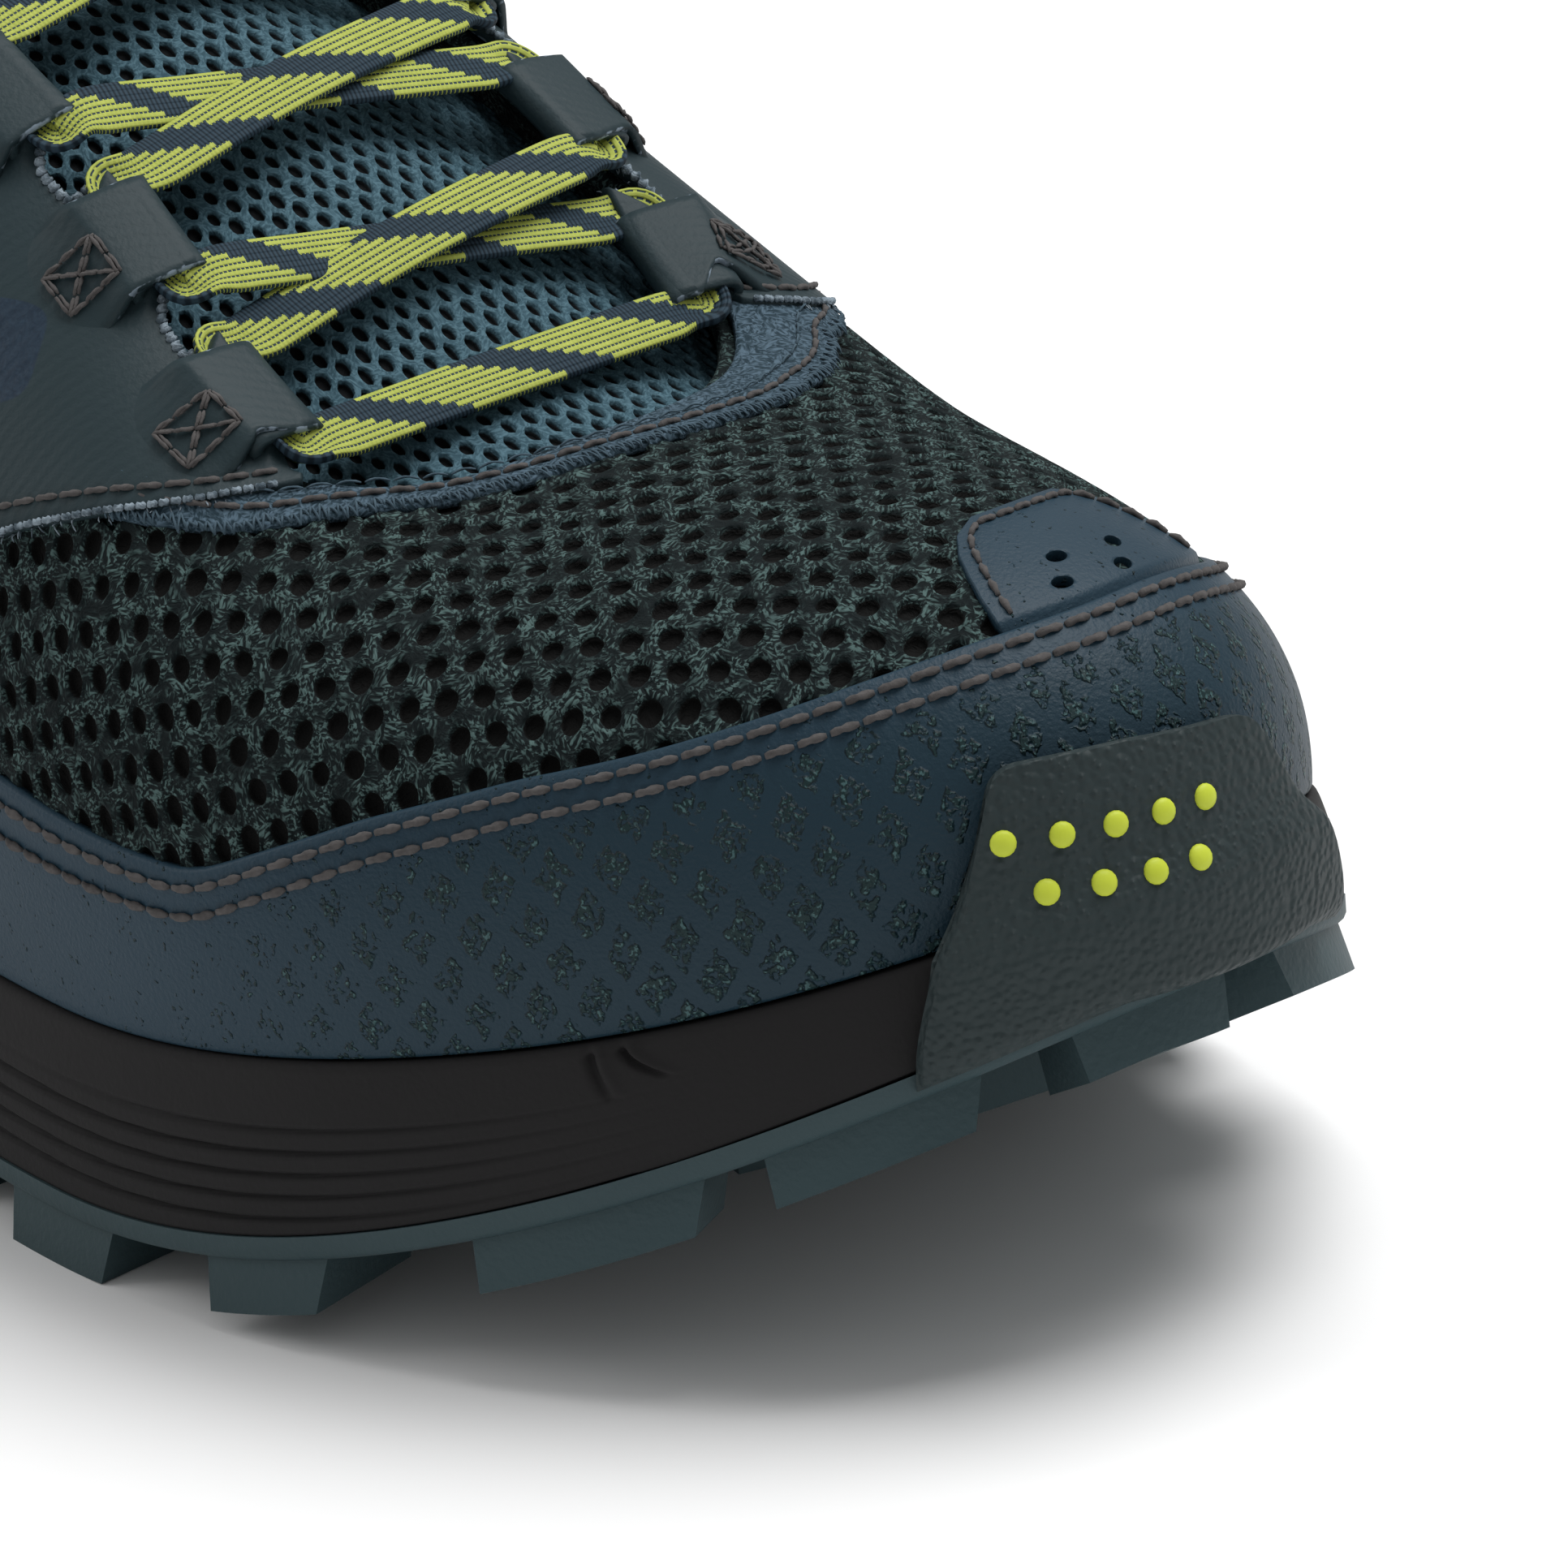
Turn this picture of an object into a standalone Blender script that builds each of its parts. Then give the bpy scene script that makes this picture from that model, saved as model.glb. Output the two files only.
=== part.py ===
"""Trail running shoe for the right foot, about EU 43, standing empty and unbent on its sole.

The toe points along +X, the inner side of the foot is +Y and up is +Z. Lengths are metres. The sole's outline,
the upper and all that lies on the upper come from one table of sections, read round the shoe from the heel.
"""

import math

import bmesh
import bpy
import numpy as np
from mathutils import Matrix, Vector

# Sizes of the last and the sole
SOLE_LENGTH = 0.296
BALL_WIDTH = 0.106
HEEL_HEIGHT = 0.104
INSTEP_HEIGHT = 0.113
HEEL_STACK = 0.0305
TOE_SPRING = 0.0298
HEEL_BEVEL = 0.006
ARCH_RISE = 0.003

# Thicknesses and depths
LUG_DEPTH = 0.005
OUTSOLE_THICKNESS = 0.0025
RIM_WIDTH = 0.002
RIB_DEPTH = 0.0011
RIB_ROWS = 9
UPPER_INSET = 0.0045
MIDSOLE_INSET = 0.0007
OUTSOLE_INSET = 0.0005
SKIRT_INSET = 0.0005
UPPER_WALL = 0.002
COLLAR_PADDING = 0.0045
RAND_THICKNESS = 0.0011
COUNTER_THICKNESS = 0.0014
EYESTAY_THICKNESS = 0.0012
SEAM_THICKNESS = 0.0009
SEAM_WIDTH = 0.0048
INSOLE_THICKNESS = 0.004
BUMPER_THICKNESS = 0.0019
CLEARANCE = 0.0003
OVERLAY_GAP = 0.0005
EYESTAY_GAP = 0.0007

# Laces and their loops
LOOP_ROWS = 5
LOOP_PITCH = 0.0208
FIRST_LOOP = 0.0358
THROAT_FRONT = 0.475
LOOP_REACH = 0.0053
LOOP_LENGTH = 0.0115
LOOP_WIDTH = 0.0084
LOOP_HEIGHT = 0.0036
LOOP_SLOT_WIDTH = 0.0064
LOOP_SLOT_HEIGHT = 0.0018
LACE_WIDTH = 0.006
LACE_THICKNESS = 0.0014

# How finely the forms are faceted
COLUMNS_ROUND = 68
COLUMN_CROWDING = 0.27
STRIPS_ACROSS = 4

# Sections round the shoe, from the heel by the outer side to the toe and back by the inner side.
# along and side give the sole's outline, in shares of SOLE_LENGTH and half BALL_WIDTH.
# rim is the sole's edge above the sprung floor, in shares of HEEL_STACK.
# open_along and open_side give the opening's edge, and its height is of_heel * HEEL_HEIGHT + of_instep *
# INSTEP_HEIGHT. rise is the share of the height that the wall climbs before it turns in, lean how far it bulges
# over the rim in shares of half BALL_WIDTH, reach how long it runs straight to the edge, and slope at what angle.
SECTION_NAMES = (
    "along", "side", "rim", "open_along", "open_side", "of_heel", "of_instep", "rise", "lean", "reach", "slope",
)
SECTIONS = (
    (0.000, 0.000, 1.350, 0.041, 0.000, 1.000, 0.000, 0.45, 0.057, 0.30, 80),
    (0.020, -0.396, 1.330, 0.047, -0.226, 0.980, 0.000, 0.45, 0.057, 0.30, 75),
    (0.081, -0.642, 1.270, 0.088, -0.415, 0.885, 0.000, 0.45, 0.057, 0.30, 70),
    (0.186, -0.736, 1.180, 0.176, -0.509, 0.750, 0.000, 0.45, 0.057, 0.30, 65),
    (0.321, -0.755, 1.082, 0.294, -0.509, 0.420, 0.370, 0.50, 0.075, 0.35, 60),
    (0.456, -0.811, 0.951, 0.426, -0.453, 0.000, 1.000, 0.50, 0.113, 0.50, 45),
    (0.574, -0.925, 0.836, 0.547, -0.472, 0.000, 0.903, 0.52, 0.151, 0.60, 38),
    (0.676, -1.000, 0.820, 0.635, -0.475, 0.000, 0.772, 0.55, 0.151, 0.65, 32),
    (0.770, -0.972, 0.792, 0.703, -0.515, 0.000, 0.656, 0.62, 0.132, 0.62, 22),
    (0.851, -0.830, 0.712, 0.740, -0.396, 0.000, 0.628, 0.75, 0.094, 0.60, 12),
    (0.919, -0.623, 0.615, 0.753, -0.245, 0.000, 0.628, 0.85, 0.075, 0.60, 6),
    (0.970, -0.340, 0.534, 0.757, -0.094, 0.000, 0.633, 0.95, 0.057, 0.60, 2),
    (1.000, 0.000, 0.498, 0.757, 0.057, 0.000, 0.633, 1.00, 0.038, 0.60, 0),
    (0.997, 0.321, 0.518, 0.753, 0.208, 0.000, 0.633, 1.00, 0.038, 0.60, 2),
    (0.963, 0.623, 0.569, 0.743, 0.330, 0.000, 0.635, 0.80, 0.047, 0.60, 6),
    (0.905, 0.840, 0.673, 0.726, 0.425, 0.000, 0.646, 0.61, 0.057, 0.60, 13),
    (0.828, 0.962, 0.785, 0.699, 0.491, 0.000, 0.677, 0.50, 0.066, 0.60, 24),
    (0.726, 0.991, 0.890, 0.642, 0.494, 0.000, 0.770, 0.47, 0.094, 0.60, 33),
    (0.625, 0.849, 0.984, 0.564, 0.481, 0.000, 0.881, 0.49, 0.113, 0.60, 38),
    (0.507, 0.660, 1.082, 0.440, 0.457, 0.000, 1.000, 0.52, 0.113, 0.50, 45),
    (0.389, 0.585, 1.180, 0.355, 0.480, 0.420, 0.472, 0.50, 0.075, 0.35, 60),
    (0.270, 0.642, 1.220, 0.277, 0.509, 0.790, 0.000, 0.45, 0.057, 0.30, 65),
    (0.152, 0.708, 1.250, 0.169, 0.491, 0.760, 0.000, 0.45, 0.057, 0.30, 65),
    (0.068, 0.604, 1.310, 0.088, 0.396, 0.885, 0.000, 0.45, 0.057, 0.30, 70),
    (0.017, 0.358, 1.335, 0.047, 0.226, 0.980, 0.000, 0.45, 0.057, 0.30, 75),
)

# Height of the footbed above the sprung floor, in shares of HEEL_STACK, along the sole in shares of SOLE_LENGTH.
FOOTBED_NAMES = ("along", "height")
FOOTBED = (
    (0.00, 1.00), (0.14, 1.00), (0.24, 0.98), (0.34, 0.89), (0.46, 0.74), (0.57, 0.63),
    (0.68, 0.59), (0.77, 0.545), (0.85, 0.45), (0.92, 0.385), (1.00, 0.33),
)

# Heights of the upper's rows, in shares of its wall from the rim to the opening.
UPPER_ROWS = (0.0, 0.08, 0.17, 0.27, 0.37, 0.47, 0.58, 0.69, 0.80, 0.90, 1.0)

# Upper edges of the overlays: share round the shoe, share up the wall. The inner side repeats the outer one.
RAND_NAMES = ("share", "top")
RAND = (
    (0.130, 0.14), (0.18, 0.14), (0.22, 0.15), (0.26, 0.19), (0.29, 0.22), (0.313, 0.23), (0.355, 0.23),
    (0.370, 0.28), (0.385, 0.32), (0.411, 0.355), (0.451, 0.37), (0.480, 0.385), (0.549, 0.385), (0.580, 0.37),
    (0.615, 0.345),
    (0.645, 0.28), (0.665, 0.23), (0.700, 0.22), (0.740, 0.19), (0.780, 0.15), (0.870, 0.14),
)
# The patch over the toe: share up the wall, and its first and last share round the shoe.
TOE_PATCH = (
    (0.400, 0.4865, 0.5430), (0.445, 0.4875, 0.5420), (0.490, 0.4895, 0.5400), (0.530, 0.4920, 0.5375),
    (0.565, 0.4960, 0.5335), (0.590, 0.5030, 0.5270),
)
COUNTER_NAMES = ("share", "top")
COUNTER = (
    (-0.130, 0.14), (-0.115, 0.20), (-0.090, 0.36), (-0.060, 0.52), (-0.030, 0.60), (0.0, 0.62),
    (0.030, 0.60), (0.060, 0.52), (0.090, 0.36), (0.115, 0.20), (0.130, 0.14),
)
EYESTAY_NAMES = ("share", "low")
EYESTAY = (
    (0.216, 0.90), (0.223, 0.80), (0.236, 0.66), (0.255, 0.54), (0.280, 0.46), (0.300, 0.45), (0.312, 0.49),
    (0.327, 0.59), (0.342, 0.70), (0.353, 0.79), (0.361, 0.86), (0.369, 0.92), (0.376, 0.965),
)
EYESTAY_TOP = 1.10
INNER_TIP = 0.596
INNER_STRETCH = 1.12
SEAM_NAMES = ("share", "low")
SEAM = (
    (0.346, 0.66), (0.353, 0.71), (0.363, 0.78), (0.372, 0.835), (0.381, 0.885), (0.403, 0.93), (0.429, 0.94),
    (0.484, 0.93), (0.510, 0.92), (0.550, 0.90), (0.566, 0.87), (0.580, 0.82), (0.592, 0.75), (0.602, 0.67),
)

# The toe bumper: its two ends at its foot and at its head, in shares round the shoe, its top at its outer end, in
# shares up the wall, and how far the top drops towards its inner end. It narrows from foot to head.
BUMPER_FOOT = (0.460, 0.528)
BUMPER_HEAD = (0.4725, 0.5155)
BUMPER_TOP = 0.205
BUMPER_DROP = 0.055
BUMPER_COLUMNS = 9
BUMPER_REACH = 0.0022

# The tongue: along in shares of SOLE_LENGTH, crown of INSTEP_HEIGHT, half width of half BALL_WIDTH, drop from
# crown to edge of INSTEP_HEIGHT, and thickness of TONGUE_PADDING. It lies TONGUE_OFFSET towards the inner side.
TONGUE_PADDING = 0.006
TONGUE_OFFSET = 0.001
TONGUE_NAMES = ("along", "crown", "half", "drop", "thickness")
TONGUE = (
    (0.792, 0.588, 0.37, 0.030, 0.33),
    (0.757, 0.609, 0.44, 0.042, 0.33),
    (0.716, 0.650, 0.54, 0.062, 0.40),
    (0.676, 0.718, 0.56, 0.080, 0.45),
    (0.625, 0.805, 0.56, 0.093, 0.50),
    (0.557, 0.905, 0.52, 0.098, 0.55),
    (0.490, 0.975, 0.46, 0.100, 0.70),
    (0.432, 1.030, 0.38, 0.100, 1.00),
    (0.385, 1.105, 0.34, 0.090, 0.80),
)

# Lugs along the sole's edge: first and last share round the shoe, and depth in from the edge, in shares of half
# BALL_WIDTH.
EDGE_LUGS = (
    (-0.022, 0.022, 0.26), (0.034, 0.062, 0.28), (0.074, 0.098, 0.26), (0.110, 0.134, 0.26),
    (0.148, 0.170, 0.24), (0.232, 0.254, 0.26), (0.268, 0.292, 0.30), (0.309, 0.331, 0.32),
    (0.354, 0.373, 0.30), (0.399, 0.430, 0.30), (0.441, 0.467, 0.30), (0.482, 0.503, 0.30),
    (0.516, 0.545, 0.30), (0.560, 0.586, 0.30), (0.602, 0.624, 0.30), (0.642, 0.666, 0.32),
    (0.684, 0.708, 0.30), (0.728, 0.750, 0.24), (0.826, 0.848, 0.24), (0.862, 0.886, 0.26),
    (0.898, 0.922, 0.26), (0.934, 0.964, 0.28),
)
# Arrow lugs in the middle: along in shares of SOLE_LENGTH, side and size in shares of half BALL_WIDTH, and which
# way the arrow points.
ARROW_LUGS = (
    (0.115, 0.00, 0.26, -1), (0.190, -0.02, 0.26, -1), (0.262, -0.02, 0.26, -1),
    (0.560, -0.30, 0.22, 1), (0.560, 0.16, 0.22, 1), (0.632, -0.34, 0.24, 1), (0.632, 0.20, 0.24, 1),
    (0.704, -0.30, 0.24, 1), (0.704, 0.26, 0.24, 1), (0.776, -0.24, 0.24, 1), (0.776, 0.30, 0.24, 1),
    (0.846, -0.06, 0.22, 1), (0.846, 0.42, 0.20, 1), (0.906, 0.10, 0.22, 1),
)
LUG_DRAFT = 0.0012
LUG_ROOT = 0.0012
LUG_LEAN = 0.0016


def clear_scene():
    for item in list(bpy.data.objects):
        bpy.data.objects.remove(item, do_unlink=True)


def columns_of(table, names):
    """The table's columns by name, as arrays."""
    return dict(zip(names, np.array(table, float).T))


def ramp(value, low, high):
    """0 below low, 1 above high, and a smooth rise between."""
    share = np.clip((value - low) / (high - low), 0.0, 1.0)
    return share * share * (3.0 - 2.0 * share)


# Heights along the sole

def spring(along):
    """Rise of the whole front of the shoe towards the toe."""
    share = (along / SOLE_LENGTH - 0.676) / (1.0 - 0.676)
    return TOE_SPRING * np.clip(share, 0.0, 1.0) ** 1.9


def tread_height(along):
    """Underside of the lugs above the floor: bevelled heel, flat heel, arch, flat ball and toe spring."""
    share = along / SOLE_LENGTH
    bevel = HEEL_BEVEL * np.clip(1.0 - share / 0.095, 0.0, 1.0) ** 2
    arch = ARCH_RISE * ramp(share, 0.31, 0.39) * ramp(-share, -0.55, -0.47)
    return spring(along) + bevel + arch


def root_height(along):
    """Underside of the outsole between its lugs."""
    return tread_height(along) + LUG_DEPTH


def outsole_top(along):
    return root_height(along) + OUTSOLE_THICKNESS


def midsole_base(along):
    return outsole_top(along) + 1.5 * CLEARANCE


def footbed_height(along):
    rows = columns_of(FOOTBED, FOOTBED_NAMES)
    share = np.interp(along / SOLE_LENGTH, rows["along"], rows["height"])
    return spring(along) + HEEL_STACK * share


# The last: smooth closed curves through the sections

def section_values():
    """The sections' columns in metres, one row for each section."""
    rows = columns_of(SECTIONS, SECTION_NAMES)
    half = BALL_WIDTH / 2.0
    along = rows["along"] * SOLE_LENGTH
    edge_height = rows["of_heel"] * HEEL_HEIGHT + rows["of_instep"] * INSTEP_HEIGHT
    return np.column_stack((
        along, rows["side"] * half, rows["rim"] * HEEL_STACK, rows["open_along"] * SOLE_LENGTH,
        rows["open_side"] * half, edge_height, rows["rise"], rows["lean"] * half, rows["reach"],
        np.radians(rows["slope"]),
    ))


def closed_spline(knots, values):
    """Second derivatives of the closed cubic spline through values at knots, whose last row repeats the first."""
    count = len(knots) - 1
    step = np.diff(knots)
    slope = np.diff(values, axis=0) / step[:, None]
    matrix = np.zeros((count, count))
    for row in range(count):
        matrix[row, row - 1] += step[row - 1]
        matrix[row, row] += 2.0 * (step[row - 1] + step[row])
        matrix[row, (row + 1) % count] += step[row]
    bend = np.linalg.solve(matrix, 6.0 * (slope - np.roll(slope, 1, axis=0)))
    return np.vstack((bend, bend[:1]))


VALUES = section_values()
LOOPED = np.vstack((VALUES, VALUES[:1]))
KNOTS = np.concatenate(([0.0], np.cumsum(np.linalg.norm(np.diff(LOOPED[:, :2], axis=0), axis=1))))
OUTLINE_LENGTH = KNOTS[-1]
KNOTS = KNOTS / OUTLINE_LENGTH
BENDS = closed_spline(KNOTS, LOOPED)


def section_at(share):
    """The section's values at each share round the shoe, on the closed spline."""
    share = np.mod(np.asarray(share, float), 1.0)
    right = np.clip(np.searchsorted(KNOTS, share, side="right"), 1, len(KNOTS) - 1)
    left = right - 1
    step = (KNOTS[right] - KNOTS[left])[..., None]
    far = ((share - KNOTS[left])[..., None]) / step
    near = 1.0 - far
    curve = near * LOOPED[left] + far * LOOPED[right]
    return curve + ((near ** 3 - near) * BENDS[left] + (far ** 3 - far) * BENDS[right]) * step ** 2 / 6.0


def inward(share):
    """Unit vectors in plan, at right angles to the outline and into the shoe."""
    small = 1e-4
    tangent = section_at(np.asarray(share) + small)[..., :2] - section_at(np.asarray(share) - small)[..., :2]
    tangent /= np.linalg.norm(tangent, axis=-1, keepdims=True)
    return np.stack((-tangent[..., 1], tangent[..., 0]), axis=-1)


def outline_points(share, inset, height):
    """Points beside the sole's outline: inset into the shoe, at a height, which may be a function of along."""
    plan = section_at(share)[..., :2] + inward(share) * np.asarray(inset)[..., None]
    level = height(plan[..., 0]) if callable(height) else height
    return np.concatenate((plan, np.broadcast_to(level, plan.shape[:-1])[..., None]), axis=-1)


def rim_height(share):
    values = section_at(share)
    return values[..., 2] + spring(values[..., 0])


def upper_surface(share, up):
    """The upper's outer face: up is 0 at the sole's rim and 1 at the opening, and beyond 1 it goes straight on."""
    share, up = np.broadcast_arrays(np.asarray(share, float), np.asarray(up, float))
    values = section_at(share)
    foot = outline_points(share, np.full(share.shape, UPPER_INSET), rim_height(share))
    edge = values[..., 3:6]
    flat = edge[..., :2] - foot[..., :2]
    length = np.linalg.norm(flat, axis=-1, keepdims=True)
    flat = flat / length
    climb = (edge[..., 2:3] - foot[..., 2:3]) * values[..., 6:7]
    lower = foot + np.concatenate((-flat * values[..., 7:8], climb), axis=-1)
    run = length * values[..., 8:9]
    slope = values[..., 9:10]
    higher = edge - np.concatenate((flat * run * np.cos(slope), run * np.sin(slope)), axis=-1)
    t = np.minimum(up, 1.0)[..., None]
    point = foot * (1 - t) ** 3 + 3 * lower * t * (1 - t) ** 2 + 3 * higher * t * t * (1 - t) + edge * t ** 3
    return point + 3.0 * (edge - higher) * np.maximum(up - 1.0, 0.0)[..., None]


def upper_normal(share, up):
    small = 1e-4
    round_the_shoe = upper_surface(share + small, up) - upper_surface(share - small, up)
    up_the_wall = upper_surface(share, up + small) - upper_surface(share, np.maximum(up - small, 0.0))
    normal = np.cross(round_the_shoe, up_the_wall)
    return normal / np.linalg.norm(normal, axis=-1, keepdims=True)


def on_upper(share, up, out):
    """Points on the upper's outer face, moved outwards along its normal."""
    share, up = np.broadcast_arrays(np.asarray(share, float), np.asarray(up, float))
    return upper_surface(share, up) + upper_normal(share, up) * np.asarray(out)[..., None]


def ring_shares():
    """Shares round the shoe of the facets' columns, closer together at the heel and the toe."""
    even = np.arange(COLUMNS_ROUND) / COLUMNS_ROUND
    return even - COLUMN_CROWDING * np.sin(4.0 * math.pi * even) / (4.0 * math.pi)


def shares_between(first, last):
    """The columns that lie between two shares, with the two shares as its ends."""
    ring = ring_shares()
    ring = np.concatenate((ring - 1.0, ring, ring + 1.0))
    nearest = 0.25 / COLUMNS_ROUND
    inside = ring[(ring > first + nearest) & (ring < last - nearest)]
    return np.concatenate(([first], inside, [last]))


# Closed bodies from rows of points

def add_material(item, colour, roughness):
    material = bpy.data.materials.new(item.name)
    material.use_nodes = True
    shader = material.node_tree.nodes["Principled BSDF"]
    shader.inputs["Base Color"].default_value = (*colour, 1.0)
    shader.inputs["Roughness"].default_value = roughness
    shader.inputs["Metallic"].default_value = 0.0
    item.data.materials.append(material)


def finish_object(name, mesh, colour, roughness):
    """An object from a bmesh, with its faces pointing out, shaded smooth and given its material."""
    bmesh.ops.recalc_face_normals(mesh, faces=mesh.faces)
    data = bpy.data.meshes.new(name)
    mesh.to_mesh(data)
    mesh.free()
    data.shade_smooth()
    data.set_sharp_from_angle(angle=math.radians(40.0))
    item = bpy.data.objects.new(name, data)
    bpy.context.scene.collection.objects.link(item)
    add_material(item, colour, roughness)
    return item


def ring_of_verts(mesh, points):
    return [mesh.verts.new(Vector(point)) for point in points]


def bridge(mesh, low, high, closed):
    """Faces between two rows of vertices, which both run the same way."""
    count = len(low)
    for i in range(count if closed else count - 1):
        j = (i + 1) % count
        mesh.faces.new((low[i], low[j], high[j], high[i]))


def add_lid(mesh, ring, height):
    """Closes a ring round the sole with strips across it, whose inner points stand at the given height."""
    half = len(ring) // 2
    lines = [[ring[0]]]
    for i in range(1, half):
        left, right = ring[i], ring[-i]
        line = [left]
        for k in range(1, STRIPS_ACROSS):
            point = left.co.lerp(right.co, k / STRIPS_ACROSS)
            point.z = height(np.array(point.x))
            line.append(mesh.verts.new(point))
        lines.append(line + [right])
    lines.append([ring[half]])
    for one, other in zip(lines, lines[1:]):
        if len(one) == 1:
            one = one * len(other)
        if len(other) == 1:
            other = other * len(one)
        for k in range(STRIPS_ACROSS):
            corners = list(dict.fromkeys((one[k], one[k + 1], other[k + 1], other[k])))
            mesh.faces.new(corners)


def body_of_rings(name, rings, colour, roughness, lids=None):
    """A closed body from rings round the shoe: with lids on its first and last ring, or closed as a loop."""
    mesh = bmesh.new()
    rows = [ring_of_verts(mesh, ring) for ring in rings]
    for low, high in zip(rows, rows[1:]):
        bridge(mesh, low, high, closed=True)
    if lids is None:
        bridge(mesh, rows[-1], rows[0], closed=True)
    else:
        add_lid(mesh, rows[0], lids[0])
        add_lid(mesh, rows[-1], lids[1])
    return finish_object(name, mesh, colour, roughness)


def body_of_sheet(name, outer, inner, colour, roughness):
    """A closed sheet between two grids of points, rows of columns, the outer one facing out."""
    mesh = bmesh.new()
    front = [ring_of_verts(mesh, row) for row in outer]
    back = [ring_of_verts(mesh, row) for row in inner]
    for grid in (front, back):
        for low, high in zip(grid, grid[1:]):
            bridge(mesh, low, high, closed=False)
    bridge(mesh, front[0], back[0], closed=False)
    bridge(mesh, front[-1], back[-1], closed=False)
    bridge(mesh, [row[0] for row in front], [row[0] for row in back], closed=False)
    bridge(mesh, [row[-1] for row in front], [row[-1] for row in back], closed=False)
    return finish_object(name, mesh, colour, roughness)


def body_of_hoops(name, hoops, colour, roughness):
    """A closed bar lofted through closed hoops of points, with its two ends filled."""
    mesh = bmesh.new()
    rows = [ring_of_verts(mesh, hoop) for hoop in hoops]
    for low, high in zip(rows, rows[1:]):
        bridge(mesh, low, high, closed=True)
    mesh.faces.new(rows[0])
    mesh.faces.new(rows[-1])
    return finish_object(name, mesh, colour, roughness)


def join_solids(body, others):
    """Unites the other solids with the body, one Boolean after another, and removes them."""
    for other in others:
        join = body.modifiers.new(other.name, "BOOLEAN")
        join.operation = "UNION"
        join.solver = "EXACT"
        join.object = other
    graph = bpy.context.evaluated_depsgraph_get()
    joined = bpy.data.meshes.new_from_object(body.evaluated_get(graph))
    body.modifiers.clear()
    body.data = joined
    for other in others:
        bpy.data.objects.remove(other, do_unlink=True)
    return body


# Sole

def build_insole(colour):
    share = ring_shares()
    edge = UPPER_INSET + SKIRT_INSET + UPPER_WALL + 3.0 * CLEARANCE
    base = lambda along: footbed_height(along) + CLEARANCE
    top = lambda along: base(along) + INSOLE_THICKNESS
    flat = np.full(len(share), 1.0)
    rings = [
        outline_points(share, flat * edge, base),
        outline_points(share, flat * edge, lambda along: base(along) + 0.75 * INSOLE_THICKNESS),
        outline_points(share, flat * (edge + 0.25 * INSOLE_THICKNESS), top),
    ]
    return body_of_rings("insole", rings, colour, 0.9, lids=(base, top))


def build_midsole(colour):
    """A foam cup: ribbed side, narrow rim, and the footbed sunk inside it."""
    share = ring_shares()
    flat = np.full(len(share), 1.0)
    along = section_at(share)[:, 0]
    base = midsole_base(along)
    rim = rim_height(share)
    shoulder = rim - 0.4 * RIM_WIDTH
    fade = ramp(-along / SOLE_LENGTH, -0.92, -0.80)
    inner = UPPER_INSET - CLEARANCE
    outer = inner - RIM_WIDTH
    rings = []
    for row in range(RIB_ROWS + 1):
        up = row / RIB_ROWS
        groove = RIB_DEPTH * fade if row % 2 == 1 else 0.0 * fade
        inset = MIDSOLE_INSET + (outer - MIDSOLE_INSET) * up ** 2 + groove
        rings.append(outline_points(share, inset, base + (shoulder - base) * up))
    rings.append(outline_points(share, flat * (outer + 0.35 * RIM_WIDTH), rim))
    rings.append(outline_points(share, flat * inner, rim))
    rings.append(outline_points(share, flat * (inner + SKIRT_INSET), footbed_height))
    return body_of_rings("midsole", rings, colour, 0.8, lids=(midsole_base, footbed_height))


def edge_lug_block(number, first, last, depth):
    """A tapered lug at the sole's edge, wider where it meets the outsole, its outer face leaning out."""
    half = BALL_WIDTH / 2.0
    middle = (first + last) / 2.0
    taper = (last - first) * 0.12
    hoops = []
    for spread, out, height in ((0.0, 0.0, tread_height), (LUG_DRAFT, LUG_LEAN, root_height)):
        wider = spread / OUTLINE_LENGTH
        share = np.array([first - wider, middle, last + wider, last + wider - taper, middle, first - wider + taper])
        inset = np.array([out] * 3 + [depth * half + spread] * 3)
        hoops.append(outline_points(share, inset, height))
    hoops[1][:, 2] += LUG_ROOT
    return body_of_hoops(f"lug_{number}", hoops, (0.1, 0.1, 0.1), 0.7)


def arrow_lug_corners(along, side, size, point):
    """A chevron in plan, its arms swept back from its point."""
    half = BALL_WIDTH / 2.0
    reach = size * half
    shape = np.array([(0.45, 0.0), (-0.25, -0.62), (-0.65, -0.40), (-0.18, 0.0), (-0.65, 0.40), (-0.25, 0.62)])
    shape = shape * reach * np.array((point, 1.0))
    if point < 0:
        shape = shape[::-1]
    return shape + np.array((along * SOLE_LENGTH, side * half))


def arrow_lug_block(number, along, side, size, point):
    """A chevron lug with straight sides, sunk into the outsole at its root."""
    corners = arrow_lug_corners(along, side, size, point)
    tip = np.column_stack((corners, tread_height(corners[:, 0])))
    top = np.column_stack((corners, root_height(corners[:, 0]) + LUG_ROOT))
    return body_of_hoops(f"arrow_lug_{number}", [tip, top], (0.1, 0.1, 0.1), 0.7)


def above_root(share):
    """A height above the outsole's underside, in shares of its thickness, as a function of along."""
    return lambda along: root_height(along) + share * OUTSOLE_THICKNESS


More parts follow.
